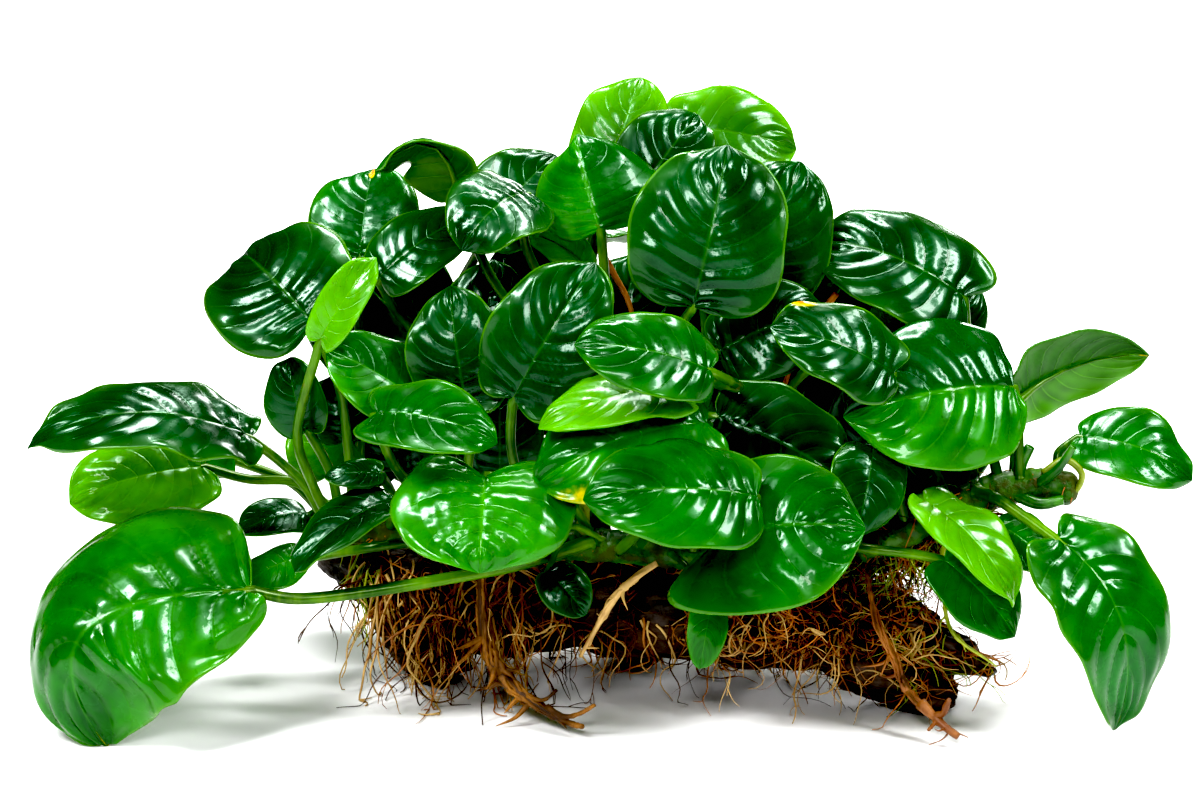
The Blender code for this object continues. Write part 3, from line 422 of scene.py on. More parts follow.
inner_leaves()

# How uneven each kind of piece is, as a share of its thickness
WOOD_ROUGH = 0.22
RHIZOME_ROUGH = 0.12
SCAR_STEP = 3.4
ROOT_STEP = 2.2
ROOT_CLEAR = 0.5
ROOT_SCATTER = (2.0, 7.0, 3.0)

# Start of the swirl of the fine roots; left unset, the swirl is another one on each run
SWIRL_SEED = 7

# Yellowed and browned places on the blades: along, across, reach and strength
MARKS = {
    "leaf_top_left": ((1.0, 0.0, 0.14, 1.0),),
    "leaf_front_green": ((0.42, 1.0, 0.28, 0.52), (0.7, 1.0, 0.26, 0.36)),
    "leaf_right_curled": ((0.78, -1.0, 0.10, 0.75),),
    "leaf_left_big": ((1.0, 0.0, 0.05, 0.5),),
    "leaf_front_bright": ((0.0, 0.0, 0.06, 0.6),),
    "leaf_far_right_droop": ((1.0, 0.0, 0.10, 0.24),),
    "leaf_far_right_upper": ((1.0, 0.0, 0.06, 0.5),),
}

# Blades with painted shade over a part: its side (-1 or 1 for that half, 0 for the middle) and how much
# darker
PAINTED_SHADE = {
    "leaf_top_light": (0, 0.4),
    "leaf_top_right_light": (0, 0.62),
    "leaf_top_left": (0, 0.6),
    "leaf_left_big": (0, 0.35),
    "leaf_right_curled": (0, 0.2),
    "leaf_right_large": (-1, 0.95),
    "leaf_far_right_upper": (-1, 0.55),
    "leaf_top_folded": (-1, 0.7),
    "leaf_front_green": (-1, 0.6),
    "leaf_front_left_green": (-1, 0.5),
    "leaf_right_low": (-1, 0.5),
}

# Thick roots: their tint, how many strands are wound along them, and how stout they are
# at the top and at the foot
ROOT_FORMS = {
    "root_front_left": ("bark", 14, (0.45, 1.05)),
    "root_front_middle": ("straw", 3, (0.8, 0.9)),
    "root_right": ("orange", 8, (0.5, 0.85)),
    "root_right_green": ("green", 3, (0.9, 0.7)),
    "root_back": ("bark", 8, (1.0, 1.0)),
}

# The darker tint of the core under the strands, where it differs: painted shade in the creases between
# them
CREASE_SHADE_TINTS = {"bark": "brown", "orange": "bark"}

# Old stalks left on the rhizomes: rhizome, tint, thickness and places (across, up, depth)
STALKS = (
    ("rhizome_back_right", "rust", 0.8,
     ((71, 32, 0), (64, 23, 0), (58, 12, 2), (52, -8, 6), (47, -31, 14))),
    ("rhizome_crown", "orange", 0.9, ((0, 45, 2), (4, 38, 3), (9, 28, 4), (12, 12, 4))),
    ("rhizome_right", "green", 1.0,
     ((133, -22, -22), (139.5, -18, -23), (144.5, -22, -24), (143, -27, -23), (140, -27, -22))),
    ("rhizome_middle", "green", 1.9, ((-3, -44, -25), (-5, -38, -25), (-4, -27, -24))),
    ("rhizome_middle", "stem", 2.0, ((-8, -46, -20), (-8.5, -37, -17), (-11, -24, -10))),
    ("rhizome_middle", "stem", 3.2, ((0.6, -46, -20), (-0.4, -36, -18), (-1.4, -24, -12))),
    ("rhizome_right", "stem", 1.9, ((125, -26, -20), (126, -20, -20), (129, -14, -21))),
    ("rhizome_right", "stem", 1.8, ((121, -26, -20), (131, -31, -26), (139, -30, -28))),
    ("rhizome_right", "stem", 1.3, ((130, -26, -22), (137, -21, -26), (142, -14, -28))),
)

# Forks at the ends of thick roots: root, thickness and places (across, up, depth)
TWIGS = (
    ("root_right", 1.3, ((96, -91, -53), (101, -95.8, -57), (104, -98.5, -60), (107.5, -101, -62))),
    ("root_right", 1.0, ((100, -95, -56), (103, -94, -58), (104, -91.5, -59), (104.8, -89.8, -60))),
    ("root_right", 0.6, ((101, -96, -57), (99.5, -98, -60), (98.5, -99, -62))),
    ("root_front_left", 0.8, ((-16, -92, -46), (-11, -95, -50), (-6, -94, -53), (-1.5, -91.4, -54))),
    ("root_front_left", 0.9, ((-14, -94, -47), (-9, -97, -51), (-5, -98, -54))),
    ("root_front_left", 0.6, ((-22, -89, -42), (-17, -90, -45), (-13, -87, -46))),
)

# Fine roots at each place: how many, where they start, their form and what they stand for
FINE_ROOTS = {
    "roots_left_end": {
        "count": 30, "tints": ("green", "straw", "orange"), "x": (-80, -66), "z": (32, 46),
        "front": True, "length": (12, 26), "thick": (0.28, 0.45), "form": (0.6, 0.34),
        "nodes": ["roots_fine_left"],
    },
    "roots_right_end": {
        "count": 110, "tints": ("green", "straw", "orange", "rust"), "x": (90, 120),
        "z": (10, 34), "front": True, "length": (8, 28), "thick": (0.22, 0.4),
        "form": (1.1, 0.08), "nodes": ["roots_fine_right"],
    },
    "roots_right_hanging": {
        "count": 520, "tints": ("orange", "brown", "green"),
        "along": ((68, -14, 42), (84, -16, 47), (100, -16, 52), (114, -16, 58)),
        "front": True, "length": (8, 28), "thick": (0.22, 0.45),
        "form": (1.0, 0.22), "nodes": ["roots_fine_right"],
    },
    "roots_left": {
        "count": 190, "tints": ("orange", "straw", "orange", "brown"), "x": (-72, -22),
        "z": (22, 48), "front": True, "length": (18, 52), "thick": (0.22, 0.5),
        "form": (0.75, 0.30), "nodes": ["roots_fine_left"],
    },
    "roots_middle": {
        "count": 75, "tints": ("orange", "straw", "brown"), "x": (-22, 32), "z": (18, 46),
        "front": True, "length": (14, 40), "thick": (0.18, 0.38), "form": (1.0, 0.22),
        "nodes": ["roots_fine_middle"],
    },
    "roots_right": {
        "count": 330, "tints": ("orange", "brown", "rust", "straw"), "x": (30, 96),
        "z": (20, 47), "front": True, "length": (12, 32), "thick": (0.18, 0.38),
        "form": (1.25, 0.12), "nodes": ["roots_fine_right"],
    },
    "roots_back_left": {
        "count": 130, "tints": ("orange", "brown", "straw"), "x": (-62, -2), "z": (14, 46),
        "front": False, "length": (16, 46), "thick": (0.2, 0.42), "form": (0.9, 0.25),
        "nodes": ["roots_fine_back_left"],
    },
    "roots_back_right": {
        "count": 130, "tints": ("orange", "brown", "straw"), "x": (22, 80), "z": (12, 46),
        "front": False, "length": (16, 46), "thick": (0.2, 0.42), "form": (0.9, 0.25),
        "nodes": ["roots_fine_back_right"],
    },
}

# Lamps: name, place, size and power
LAMPS = (
    ("softbox_left", (-0.60, -0.45, 0.95), (0.24, 0.36), 14.0),
    ("softbox_right", (0.75, -0.35, 0.85), (0.20, 0.36), 10.0),
    ("softbox_top", (0.05, 0.30, 1.10), (0.50, 0.22), 14.0),
    ("softbox_front", (-0.10, -1.10, 0.75), (0.30, 0.18), 6.0),
    ("softbox_back", (0.30, 0.90, 0.60), (0.50, 0.25), 7.0),
)
VIEW_LENS = 110.0
BLACK_LEVEL = 0.034

# How far off the floor starts to turn to plain white, and where it is white, in metres
FLOOR_FADE = (0.16, 0.60)


def to_frame(point):
    """Turn a layout point into the solids' frame, in metres."""
    return (Vector(point) + FOOTPRINT_SHIFT) * MM


def smooth_path(route, count):
    """Give evenly spread points on a smooth curve through the route."""
    route = [Vector(point) for point in route]
    padded = [route[0] * 2 - route[1]] + route + [route[-1] * 2 - route[-2]]
    spans = len(route) - 1
    points = []
    for index in range(count):
        place_on = index / (count - 1) * spans
        span = min(int(place_on), spans - 1)
        t = place_on - span
        a, b, c, d = padded[span:span + 4]
        points.append(0.5 * (b * 2 + (c - a) * t + (a * 2 - b * 5 + c * 4 - d) * t * t
                             + (b * 3 - a - c * 3 + d) * t ** 3))
    return points


def lumpy_rings(stations, sides, rough, seed, count):
    """Give uneven rings along stations of (middle, (half depth, half height)), on the floor."""
    middles = [Vector(point) for point, size in stations]
    sizes = [Vector((size[0], size[1], 0)) for point, size in stations]
    middles = smooth_path(middles, count)
    sizes = smooth_path(sizes, count)
    rings = []
    for index, middle in enumerate(middles):
        along = middles[min(index + 1, count - 1)] - middles[max(index - 1, 0)]
        along.normalize()
        side = Vector((0, 0, 1)).cross(along)
        if side.length < 0.3:
            side = Vector((0, 1, 0))
        side.normalize()
        up = along.cross(side).normalized()
        ring = []
        for corner in range(sides):
            turn = math.tau * corner / sides
            wobble = noise.noise(Vector((math.cos(turn), math.sin(turn), 0)) * 1.4
                                 + middle * 0.05 + Vector((0, 0, seed * 7.3)))
            swell = 1 + rough * wobble
            point = middle + side * math.cos(turn) * sizes[index].x * swell
            point = point + up * math.sin(turn) * sizes[index].y * swell
            point.z = max(point.z, 0.0)
            ring.append(point)
        rings.append(ring)
    return rings


# Reading the solids: where each leaf stands and how its petiole runs
def node_web(name):
    """Give a solid's points in layout millimetres, a search over them, and who touches whom."""
    shape = bmesh.new()
    shape.from_mesh(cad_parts[name].data)
    bmesh.ops.remove_doubles(shape, verts=shape.verts, dist=0.000005)
    shape.verts.index_update()
    points = [vert.co / MM - FOOTPRINT_SHIFT for vert in shape.verts]
    touching = [[edge.other_vert(vert).index for edge in vert.link_edges] for vert in shape.verts]
    shape.free()
    search = KDTree(len(points))
    for index, point in enumerate(points):
        search.insert(point, index)
    search.balance()
    return points, search, touching


def find_petiole(item, web):
    """Lay a leaf where its solid stands, and give its petiole's middles from foot to blade."""
    points, search, touching = web
    misses = []
    for step in range(MOST_PUSH):
        item.push = float(step)
        item.lay()
        misses.append((search.find(item.end)[2], step))
    item.push = float(min(misses)[1])
    item.lay()
    ring = {search.find(item.end)[1]}
    seen = set(ring)
    middles = []
    while ring:
        ring = {after for index in ring for after in touching[index]} - seen
        seen |= ring
        if ring:
            middles.append(sum((points[index] for index in ring), Vector()) / len(ring))
    petiole = middles[3:6] if item.joins else middles[5:]
    return petiole[::-1]


# Tubes and skins
def new_object(name, data):
    """Add an object to the scene."""
    made = bpy.data.objects.new(name, data)
    bpy.context.scene.collection.objects.link(made)
    return made


def as_mesh(item):
    """Give a plain mesh object in place of one with modifiers or a curve."""
    deps = bpy.context.evaluated_depsgraph_get()
    mesh = bpy.data.meshes.new_from_object(item.evaluated_get(deps))
    mesh.name = item.name
    name = item.name
    bpy.data.objects.remove(item)
    return new_object(name, mesh)


def tubes(name, runs, sides):
    """Make one mesh of round tubes, each a run of (point, radius) in millimetres."""
    curve = bpy.data.curves.new(name, "CURVE")
    curve.dimensions = "3D"
    curve.bevel_depth = MM
    curve.bevel_resolution = (sides - 4) // 2
    curve.use_fill_caps = True
    for run in runs:
        spline = curve.splines.new("POLY")
        spline.points.add(len(run) - 1)
        places = [value for point, radius in run for value in (*to_frame(point), 1.0)]
        spline.points.foreach_set("co", places)
        spline.points.foreach_set("radius", [radius for point, radius in run])
    made = as_mesh(new_object(name, curve))
    shape = bmesh.new()
    shape.from_mesh(made.data)
    bmesh.ops.remove_doubles(shape, verts=shape.verts, dist=0.000002)
    shape.to_mesh(made.data)
    shape.free()
    made.data.shade_smooth()
    return made


# More corners than a skin of under 200,000 triangles can have
CORNER_LIMIT = 200000


def face_order(face):
    """Give a number that puts the faces of a skin in the same order on each run."""
    corners = [vert.index for vert in face.verts]
    return min(corners) * CORNER_LIMIT + max(corners)


def skin(name, rings):
    """Extrude a capped circle through rings of points, in millimetres."""
    shape = bmesh.new()
    row = bmesh.ops.create_circle(shape, cap_ends=True, segments=len(rings[0]))["verts"]
    edges = list(shape.edges)
    for vert, point in zip(row, rings[0]):
        vert.co = to_frame(point)
    for ring in rings[1:]:
        made = bmesh.ops.extrude_edge_only(shape, edges=edges)["geom"]
        new = {vert for vert in made if isinstance(vert, bmesh.types.BMVert)}
        edges = [edge for edge in made if isinstance(edge, bmesh.types.BMEdge)
                 and new.issuperset(edge.verts)]
        row = [next(edge.other_vert(vert) for edge in vert.link_edges
                    if edge.other_vert(vert) in new) for vert in row]
        for vert, point in zip(row, ring):
            vert.co = to_frame(point)
    bmesh.ops.contextual_create(shape, geom=edges)
    bmesh.ops.recalc_face_normals(shape, faces=shape.faces)
    shape.verts.index_update()
    shape.faces.sort(key=face_order)
    mesh = bpy.data.meshes.new(name)
    shape.to_mesh(mesh)
    shape.free()
    mesh.shade_smooth()
    return new_object(name, mesh)


def join(name, items):
    """Join objects into one and name it."""
    with bpy.context.temp_override(active_object=items[0], selected_editable_objects=items):
        bpy.ops.object.join()
    items[0].name = name
    items[0].data.name = name
    return items[0]


def dress(item, materials, nodes):
    """Give a piece its finishes, and say what it rides on and stands for."""
    if materials:
        item.data.materials.clear()
        for material in materials:
            item.data.materials.append(material)
    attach(item, "root")
    if nodes:
        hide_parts(*nodes)


# Finishes
class Finish:
    """A material whose nodes are added with short calls."""

    def __init__(self, name, **values):
        self.material = bpy.data.materials.new(name)
        self.material.use_nodes = True
        self.tree = self.material.node_tree
        self.shader = self.tree.nodes["Principled BSDF"]
        self.place = self.add("ShaderNodeTexCoord").outputs["Object"]
        self.set(**values)

    def set(self, **values):
        """Set or link the shader's sockets."""
        for key, value in values.items():
            self.give(self.shader.inputs[key.replace("_", " ")], value)

    def give(self, socket, value):
        """Link a socket to another, or set its value."""
        if isinstance(value, bpy.types.NodeSocket):
            self.tree.links.new(value, socket)
        elif socket.type == "RGBA" and len(value) == 3:
            socket.default_value = (*value, 1.0)
        else:
            socket.default_value = value

    def add(self, kind, inputs=None, **settings):
        """Add a node with its settings and inputs."""
        node = self.tree.nodes.new(kind)
        for key, value in settings.items():
            setattr(node, key, value)
        for key, value in (inputs or {}).items():
            self.give(node.inputs[key], value)
        return node

    def math(self, operation, first, second=0.0, third=0.0):
        """Give a sum, product or other result."""
        made = self.add("ShaderNodeMath", {0: first, 1: second, 2: third}, operation=operation)
        return made.outputs[0]

    def mix(self, share, first, second):
        """Give a blend of two colours."""
        made = self.add("ShaderNodeMix", {0: share, 6: first, 7: second}, data_type="RGBA")
        return made.outputs[2]

    def noise(self, scale, detail=3.0, roughness=0.55, stretch=None):
        """Give noise over the piece; stretch squeezes it along an axis."""
        place = self.place
        if stretch:
            place = self.add("ShaderNodeMapping", {"Vector": place, "Scale": stretch}).outputs[0]
        made = self.add("ShaderNodeTexNoise", {"Vector": place, "Scale": scale, "Detail": detail,
                                               "Roughness": roughness})
        return made.outputs["Fac"]

    def ease(self, value, low, high, start=0.0, end=1.0):
        """Carry a value smoothly from low..high to start..end."""
        made = self.add("ShaderNodeMapRange", {0: value, 1: low, 2: high, 3: start, 4: end},
                        interpolation_type="SMOOTHSTEP")
        return made.outputs[0]

    def bump(self, height, strength, depth, before=None):
        """Give normals from a height; depth is in millimetres."""
        inputs = {"Height": height, "Strength": strength, "Distance": depth * MM}
        if before:
            inputs["Normal"] = before
        return self.add("ShaderNodeBump", inputs).outputs[0]


# Veins: how many to a side and how far they sweep forward from the midrib to the margin
VEINS = 7.0
VEIN_SWEEP = 0.30
VEIN_BEND = 1.25

# How far the margin waves up and down, in millimetres, and its unevenness as a share of its reach
MARGIN_FLUTTER = 3.2
MARGIN_UNEVEN = 0.09

# The tip's share of the blade, and how far it is drawn out and curls down, as shares too
TIP_REACH = 0.12
DRIP = 0.05
TIP_CURL = 0.03


def relief(item, u, v):
    """Give how far the upper surface swells between its sunken veins, in millimetres."""
    across = abs(v)
    ends = min(1.0, u / 0.08, (1 - u) / 0.10)
    fade = min(1.0, across / 0.10) * (1 - across ** 6) * ends
    turn = VEINS * (u - VEIN_SWEEP * across ** VEIN_BEND) + item.seed
    ridge = abs(math.sin(math.pi * turn)) ** 0.6 - 0.4
    spot = Vector((u * item.length, v * item.span / 2, item.seed * 40)) * 0.09
    lumps = noise.noise(spot) + 0.5 * noise.noise(spot * 2.3)
    flutter = noise.noise(spot * 1.5 + Vector((0, 0, 5))) * across ** 3 * ends
    swell = sizes().quilting / MM * ridge * item.span / 40 * fade
    return swell + 0.35 * lumps * fade + MARGIN_FLUTTER * flutter


def mark(item, u, v):
    """Give how yellowed or browned the blade is at a place, from 0 to 1."""
    worst = 0.0
    for mark_u, mark_v, reach, strength in MARKS.get(item.name, ()):
        far = math.hypot(u - mark_u, 0.5 * (v - mark_v))
        worst = max(worst, strength * (1 - min(1.0, far / reach)))
    return worst


def painted_shade(item, v):
    """Give how much painted shade darkens the blade at v below its tone, from 0 to 1."""
    side, share = PAINTED_SHADE.get(item.name, (0, 0.0))
    if side == 0:
        return share * (1 - v * v)
    return share * min(1.0, max(0.0, v * side / 0.12 + 0.2))


def make_blade(item):
    """Make a blade: a grid bent to the leaf's form, swollen between its veins."""
    shape = bmesh.new()
    rows = max(30, int(item.length * 1.15))
    columns = 2 * max(11, int(item.span * 0.48))
    bmesh.ops.create_grid(shape, x_segments=rows, y_segments=columns, size=1.0)
    layer = shape.loops.layers.uv.new("blade")
    marks = shape.verts.layers.float_color.new("marks")
    spots = {}
    for vert in shape.verts:
        u = 0.5 - 0.5 * math.cos(math.pi * (vert.co.x + 1) / 2)
        spots[vert] = (u, vert.co.y)
    for face in shape.faces:
        for loop in face.loops:
            u, v = spots[loop.vert]
            loop[layer].uv = (u, 0.5 + 0.5 * v)
    along, _, normal = item.rib(1.0)[1:]
    for vert, (u, v) in spots.items():
        lift = BLADE_THICK / 2 + relief(item, u, v)
        ragged = noise.noise((u * 4.5, math.copysign(3.0, v), item.seed * 50))
        reach = v * (1 + MARGIN_UNEVEN * ragged * math.sin(math.pi * u))
        near_tip = max(0.0, 1 - (1 - u) / TIP_REACH) ** 2
        drip = (along * DRIP - normal * TIP_CURL) * item.length * near_tip
        point = to_frame(item.blade(u, reach, lift) + drip)
        point.z = max(point.z, FLOOR_CLEAR)
        vert.co = point
        # The marks' third channel is painted shade; the first is real yellowing and browning.
        vert[marks] = (mark(item, u, v), item.seed, painted_shade(item, v), 1.0)
    bmesh.ops.remove_doubles(shape, verts=shape.verts, dist=0.00001)
    mesh = bpy.data.meshes.new(item.name)
    shape.to_mesh(mesh)
    shape.free()
    mesh.shade_smooth()
    blade = new_object(item.name, mesh)
    top, under = blade_finishes(item.tone)
    mesh.materials.append(top)
    mesh.materials.append(under)
    wall = blade.modifiers.new("wall", "SOLIDIFY")
    wall.thickness = BLADE_THICK * MM
    wall.offset = -1.0
    wall.material_offset = 1
    return as_mesh(blade)


PETIOLE_SINK = 0.8


def make_petiole(item, middles):
    """Make the petiole with its swollen foot, running on as a rib under the blade."""
    foot = middles[0] + (middles[0] - middles[1]).normalized() * 2.5
    sunk = item.rib(0.0)[3] * item.radius * PETIOLE_SINK
    route = [foot] + middles[:-1] + [middles[-1] - sunk]
    count = 7 * len(route)
    run = []
    for index, point in enumerate(smooth_path(route, count)):
        part = index / (count - 1)
        run.append((point, item.radius * (1 + 0.5 * (1 - part) ** 5)))
    for u, share in ((0.04, 0.85), (0.12, 0.66), (0.25, 0.5), (0.45, 0.36), (0.7, 0.24),
                     (0.92, 0.1)):
        radius = item.radius * share
        run.append((item.blade(u, 0.0, -BLADE_THICK / 2 - radius * 0.55), radius))
    petiole = tubes(item.name + "_petiole", [run], 10)
    petiole.data.materials.append(petiole_finish())
    return petiole


# How much darker the mottling is than each tone, and how much light goes through
SHADE = {"dark": 0.38, "mature": 0.42, "bright": 0.42, "young": 0.6}
GLOW = {"dark": 0.0, "mature": 0.05, "bright": 0.12, "young": 0.25}
SHEEN_TINT = (0.55, 1.0, 0.72)
FINISHES = {}


def once(name, make):
    """Make a finish the first time that it is asked for, and give it again after that."""
    if name not in FINISHES:
        FINISHES[name] = make()
    return FINISHES[name]


def blade_finish(tone, under):
    """Make the skin of a blade: veins along its own map, mottling, pale margin, ageing and painted
    shade.
    """
    high = list(getattr(colours(), tone))
    low = [value * SHADE[tone] for value in high]
    name = f"leaf_{tone}_" + ("underside" if under else "upper")
    made = Finish(name)
    if under:
        low = [value * 1.3 + add for value, add in zip(low, (0.010, 0.010, 0.0))]
        high = [value * 1.05 + add for value, add in zip(high, (0.040, 0.050, 0.003))]
    pale = [value * 1.25 + add for value, add in zip(high, (0.05, 0.09, 0.01))]
    place = made.add("ShaderNodeUVMap", uv_map="blade").outputs[0]
    split = made.add("ShaderNodeSeparateXYZ", {0: place}).outputs
    marks = made.add("ShaderNodeAttribute", attribute_name="marks").outputs["Color"]
    marks = made.add("ShaderNodeSeparateColor", {0: marks}).outputs
    # damage is the real ageing; shade is painted shade from the blade's marks.
    damage, seed, shade = marks
    across = made.math("ABSOLUTE", made.math("MULTIPLY_ADD", split[1], 2.0, -1.0))
    bend = made.math("POWER", across, VEIN_BEND)
    turn = made.math("MULTIPLY_ADD", bend, -VEIN_SWEEP, split[0])
    turn = made.math("MULTIPLY_ADD", turn, VEINS, seed)
    vein = made.math("PINGPONG", turn, 0.5)
    fade = made.ease(across, 0.75, 1.0, 1.0, 0.0)
    vein = made.math("MULTIPLY", made.ease(vein, 0.0, 0.07, 1.0, 0.0), fade)
    swell = made.ease(made.math("PINGPONG", turn, 0.5), 0.05, 0.5)
    midrib = made.ease(across, 0.0, 0.05, 1.0, 0.0)
    margin = made.ease(across, 0.955, 0.995)
    broad = made.ease(made.noise(45.0, 3.0), 0.35, 0.68)
    mottle = made.ease(made.noise(260.0, 4.0, 0.65), 0.3, 0.75)
    colour = made.mix(broad, low, high)
    colour = made.mix(made.math("MULTIPLY", mottle, 0.35), colour, low)
    colour = made.mix(made.math("MULTIPLY", swell, 0.5 if under else 0.25), colour, high)
    colour = made.mix(made.math("MULTIPLY", vein, 0.4 if under else 0.12), colour, pale)
    colour = made.mix(made.math("MULTIPLY", midrib, 0.55 if under else 0.30), colour, pale)
    colour = made.mix(made.ease(across, 0.62, 1.0, 0.0, 0.25), colour, pale)
    colour = made.mix(made.math("MULTIPLY", margin, 0.6), colour,
                      tuple(colours().margin))
    # Painted shade: the blade darkens toward the dark tone where its marks say so.
    deep = tuple(value * 0.9 for value in colours().dark)
    colour = made.mix(shade, colour, deep)
    specks = made.ease(made.noise(900.0, 2.0), 0.70, 0.76)
    colour = made.mix(made.math("MULTIPLY", specks, 0.5), colour, (0.006, 0.02, 0.004))
    edge_noise = made.math("MULTIPLY_ADD", made.noise(300.0, 3.0), 0.5, -0.25)
    hurt = made.math("ADD", damage, made.math("MULTIPLY", edge_noise, made.ease(damage, 0, 0.1)))
    colour = made.mix(made.ease(hurt, 0.08, 0.35), colour, (0.52, 0.42, 0.01))
    colour = made.mix(made.ease(hurt, 0.35, 0.6), colour, (0.55, 0.17, 0.01))
    colour = made.mix(made.ease(hurt, 0.65, 0.85), colour, (0.16, 0.035, 0.008))
    grain = made.noise(1100.0, 2.0, 0.5)
    height = made.math("MULTIPLY_ADD", vein, 0.8 if under else -0.5,
                       made.math("MULTIPLY", grain, 0.08))
    height = made.math("MULTIPLY_ADD", midrib, 1.2 if under else -0.8, height)
    shine = made.noise(120.0, 3.0)
    if under:
        made.set(Roughness=made.ease(shine, 0.3, 0.7, 0.38, 0.5))
    else:
        made.set(Roughness=made.ease(shine, 0.3, 0.7, 0.19, 0.34), Coat_Weight=0.18,
                 Coat_Roughness=0.06, Specular_Tint=SHEEN_TINT)
    made.set(Base_Color=colour, Normal=made.bump(height, 0.4, 0.35), Specular_IOR_Level=0.36,
             Subsurface_Weight=GLOW[tone], Subsurface_Radius=(0.3, 1.0, 0.1),
             Subsurface_Scale=0.0015)
    return made.material


def blade_finishes(tone):
    """Give a blade's upper and under finishes."""
    return tuple(once(tone + side, lambda: blade_finish(tone, side == "_under"))
                 for side in ("_upper", "_under"))


def petiole_finish():
    """Give the smooth green skin of the petioles, streaked along and browner at places."""
    def make():
        made = Finish("petiole_green", Roughness=0.32, Coat_Weight=0.06, Coat_Roughness=0.1,
                      Specular_Tint=(0.8, 1.0, 0.55))
        colour = made.mix(made.ease(made.noise(38.0), 0.35, 0.66), (0.010, 0.062, 0.002),
                          (0.070, 0.190, 0.004))
        streak = made.ease(made.noise(240.0, 4.0, 0.6, (1.0, 1.0, 0.25)), 0.45, 0.7)
        colour = made.mix(made.math("MULTIPLY", streak, 0.4), colour, (0.15, 0.27, 0.012))
        rust = made.ease(made.noise(85.0, 3.0), 0.66, 0.78)
        colour = made.mix(made.math("MULTIPLY", rust, 0.6), colour, (0.11, 0.07, 0.015))
        made.set(Base_Color=colour, Subsurface_Weight=0.08, Subsurface_Scale=0.002,
                 Subsurface_Radius=(0.3, 1.0, 0.1), Normal=made.bump(streak, 0.3, 0.1))
        return made.material
    return once("petiole", make)


def wood_finish():
    """Give the black-brown waterlogged wood, fibrous along its length."""
    def make():
        made = Finish("driftwood_bark", Specular_IOR_Level=0.5)
        fibre = made.noise(140.0, 6.0, 0.65, (0.14, 1.0, 1.0))
        crumb = made.noise(420.0, 4.0, 0.6)
        colour = made.mix(made.ease(fibre, 0.35, 0.7), (0.012, 0.008, 0.006),
                          (0.085, 0.052, 0.034))
        worn = made.ease(made.noise(55.0, 4.0), 0.56, 0.72)
        colour = made.mix(made.math("MULTIPLY", worn, 0.5), colour, (0.130, 0.062, 0.028))
        grey = made.ease(crumb, 0.62, 0.75)
        colour = made.mix(made.math("MULTIPLY", grey, 0.3), colour, (0.110, 0.092, 0.076))
        height = made.math("ADD", made.math("MULTIPLY", fibre, 1.2), made.math("MULTIPLY", crumb, 0.5))
        made.set(Base_Color=colour, Roughness=made.ease(crumb, 0.3, 0.7, 0.42, 0.8),
                 Normal=made.bump(height, 0.9, 1.4))
        return made.material
    return once("wood", make)


def rhizome_finish():
    """Give the green creeping stem with brown scars and crust."""
    def make():
        made = Finish("rhizome_skin", Coat_Weight=0.05, Coat_Roughness=0.25,
                      Specular_IOR_Level=0.35)
        patch = made.noise(95.0, 4.0, 0.6)
        colour = made.mix(made.ease(patch, 0.36, 0.62), (0.010, 0.060, 0.005),
                          (0.048, 0.150, 0.009))
        crust = made.ease(made.noise(170.0, 5.0, 0.65), 0.44, 0.60)
        colour = made.mix(made.math("MULTIPLY", crust, 0.6), colour, (0.060, 0.026, 0.008))
        pale = made.ease(made.noise(330.0, 3.0), 0.66, 0.74)
        colour = made.mix(made.math("MULTIPLY", pale, 0.5), colour, (0.22, 0.13, 0.05))
        made.set(Base_Color=colour, Roughness=made.ease(crust, 0.0, 1.0, 0.42, 0.75),
                 Normal=made.bump(made.math("ADD", crust, patch), 0.6, 0.5))
        return made.material
    return once("rhizome", make)


# Roots: darker and lighter colour, and how matt they are
ROOT_TINTS = {
    "straw": ((0.34, 0.19, 0.055), (0.66, 0.45, 0.17), 0.5),
    "orange": ((0.150, 0.048, 0.010), (0.46, 0.190, 0.045), 0.5),
    "brown": ((0.020, 0.009, 0.004), (0.100, 0.042, 0.014), 0.6),
    "green": ((0.14, 0.20, 0.012), (0.42, 0.48, 0.06), 0.4),
    "stem": ((0.004, 0.060, 0.004), (0.050, 0.210, 0.010), 0.3),
    "bark": ((0.040, 0.015, 0.003), (0.330, 0.145, 0.022), 0.68),
    "rust": ((0.280, 0.085, 0.012), (0.62, 0.240, 0.045), 0.55),
}


def root_finish(tint):
    """Give the finish of roots of one tint, changing from root to root and along them."""
    def make():
        low, high, roughness = ROOT_TINTS[tint]
        made = Finish("root_" + tint, Roughness=roughness)
        change = made.ease(made.noise(75.0, 3.0), 0.32, 0.68)
        colour = made.mix(change, low, high)
        fibre = made.noise(900.0, 3.0, 0.6, (1.0, 1.0, 0.3))
        colour = made.mix(made.ease(fibre, 0.4, 0.75, 0.0, 0.55), colour, low)
        made.set(Base_Color=colour, Normal=made.bump(fibre, 0.6, 0.2))
        return made.material
    return once("root " + tint, make)


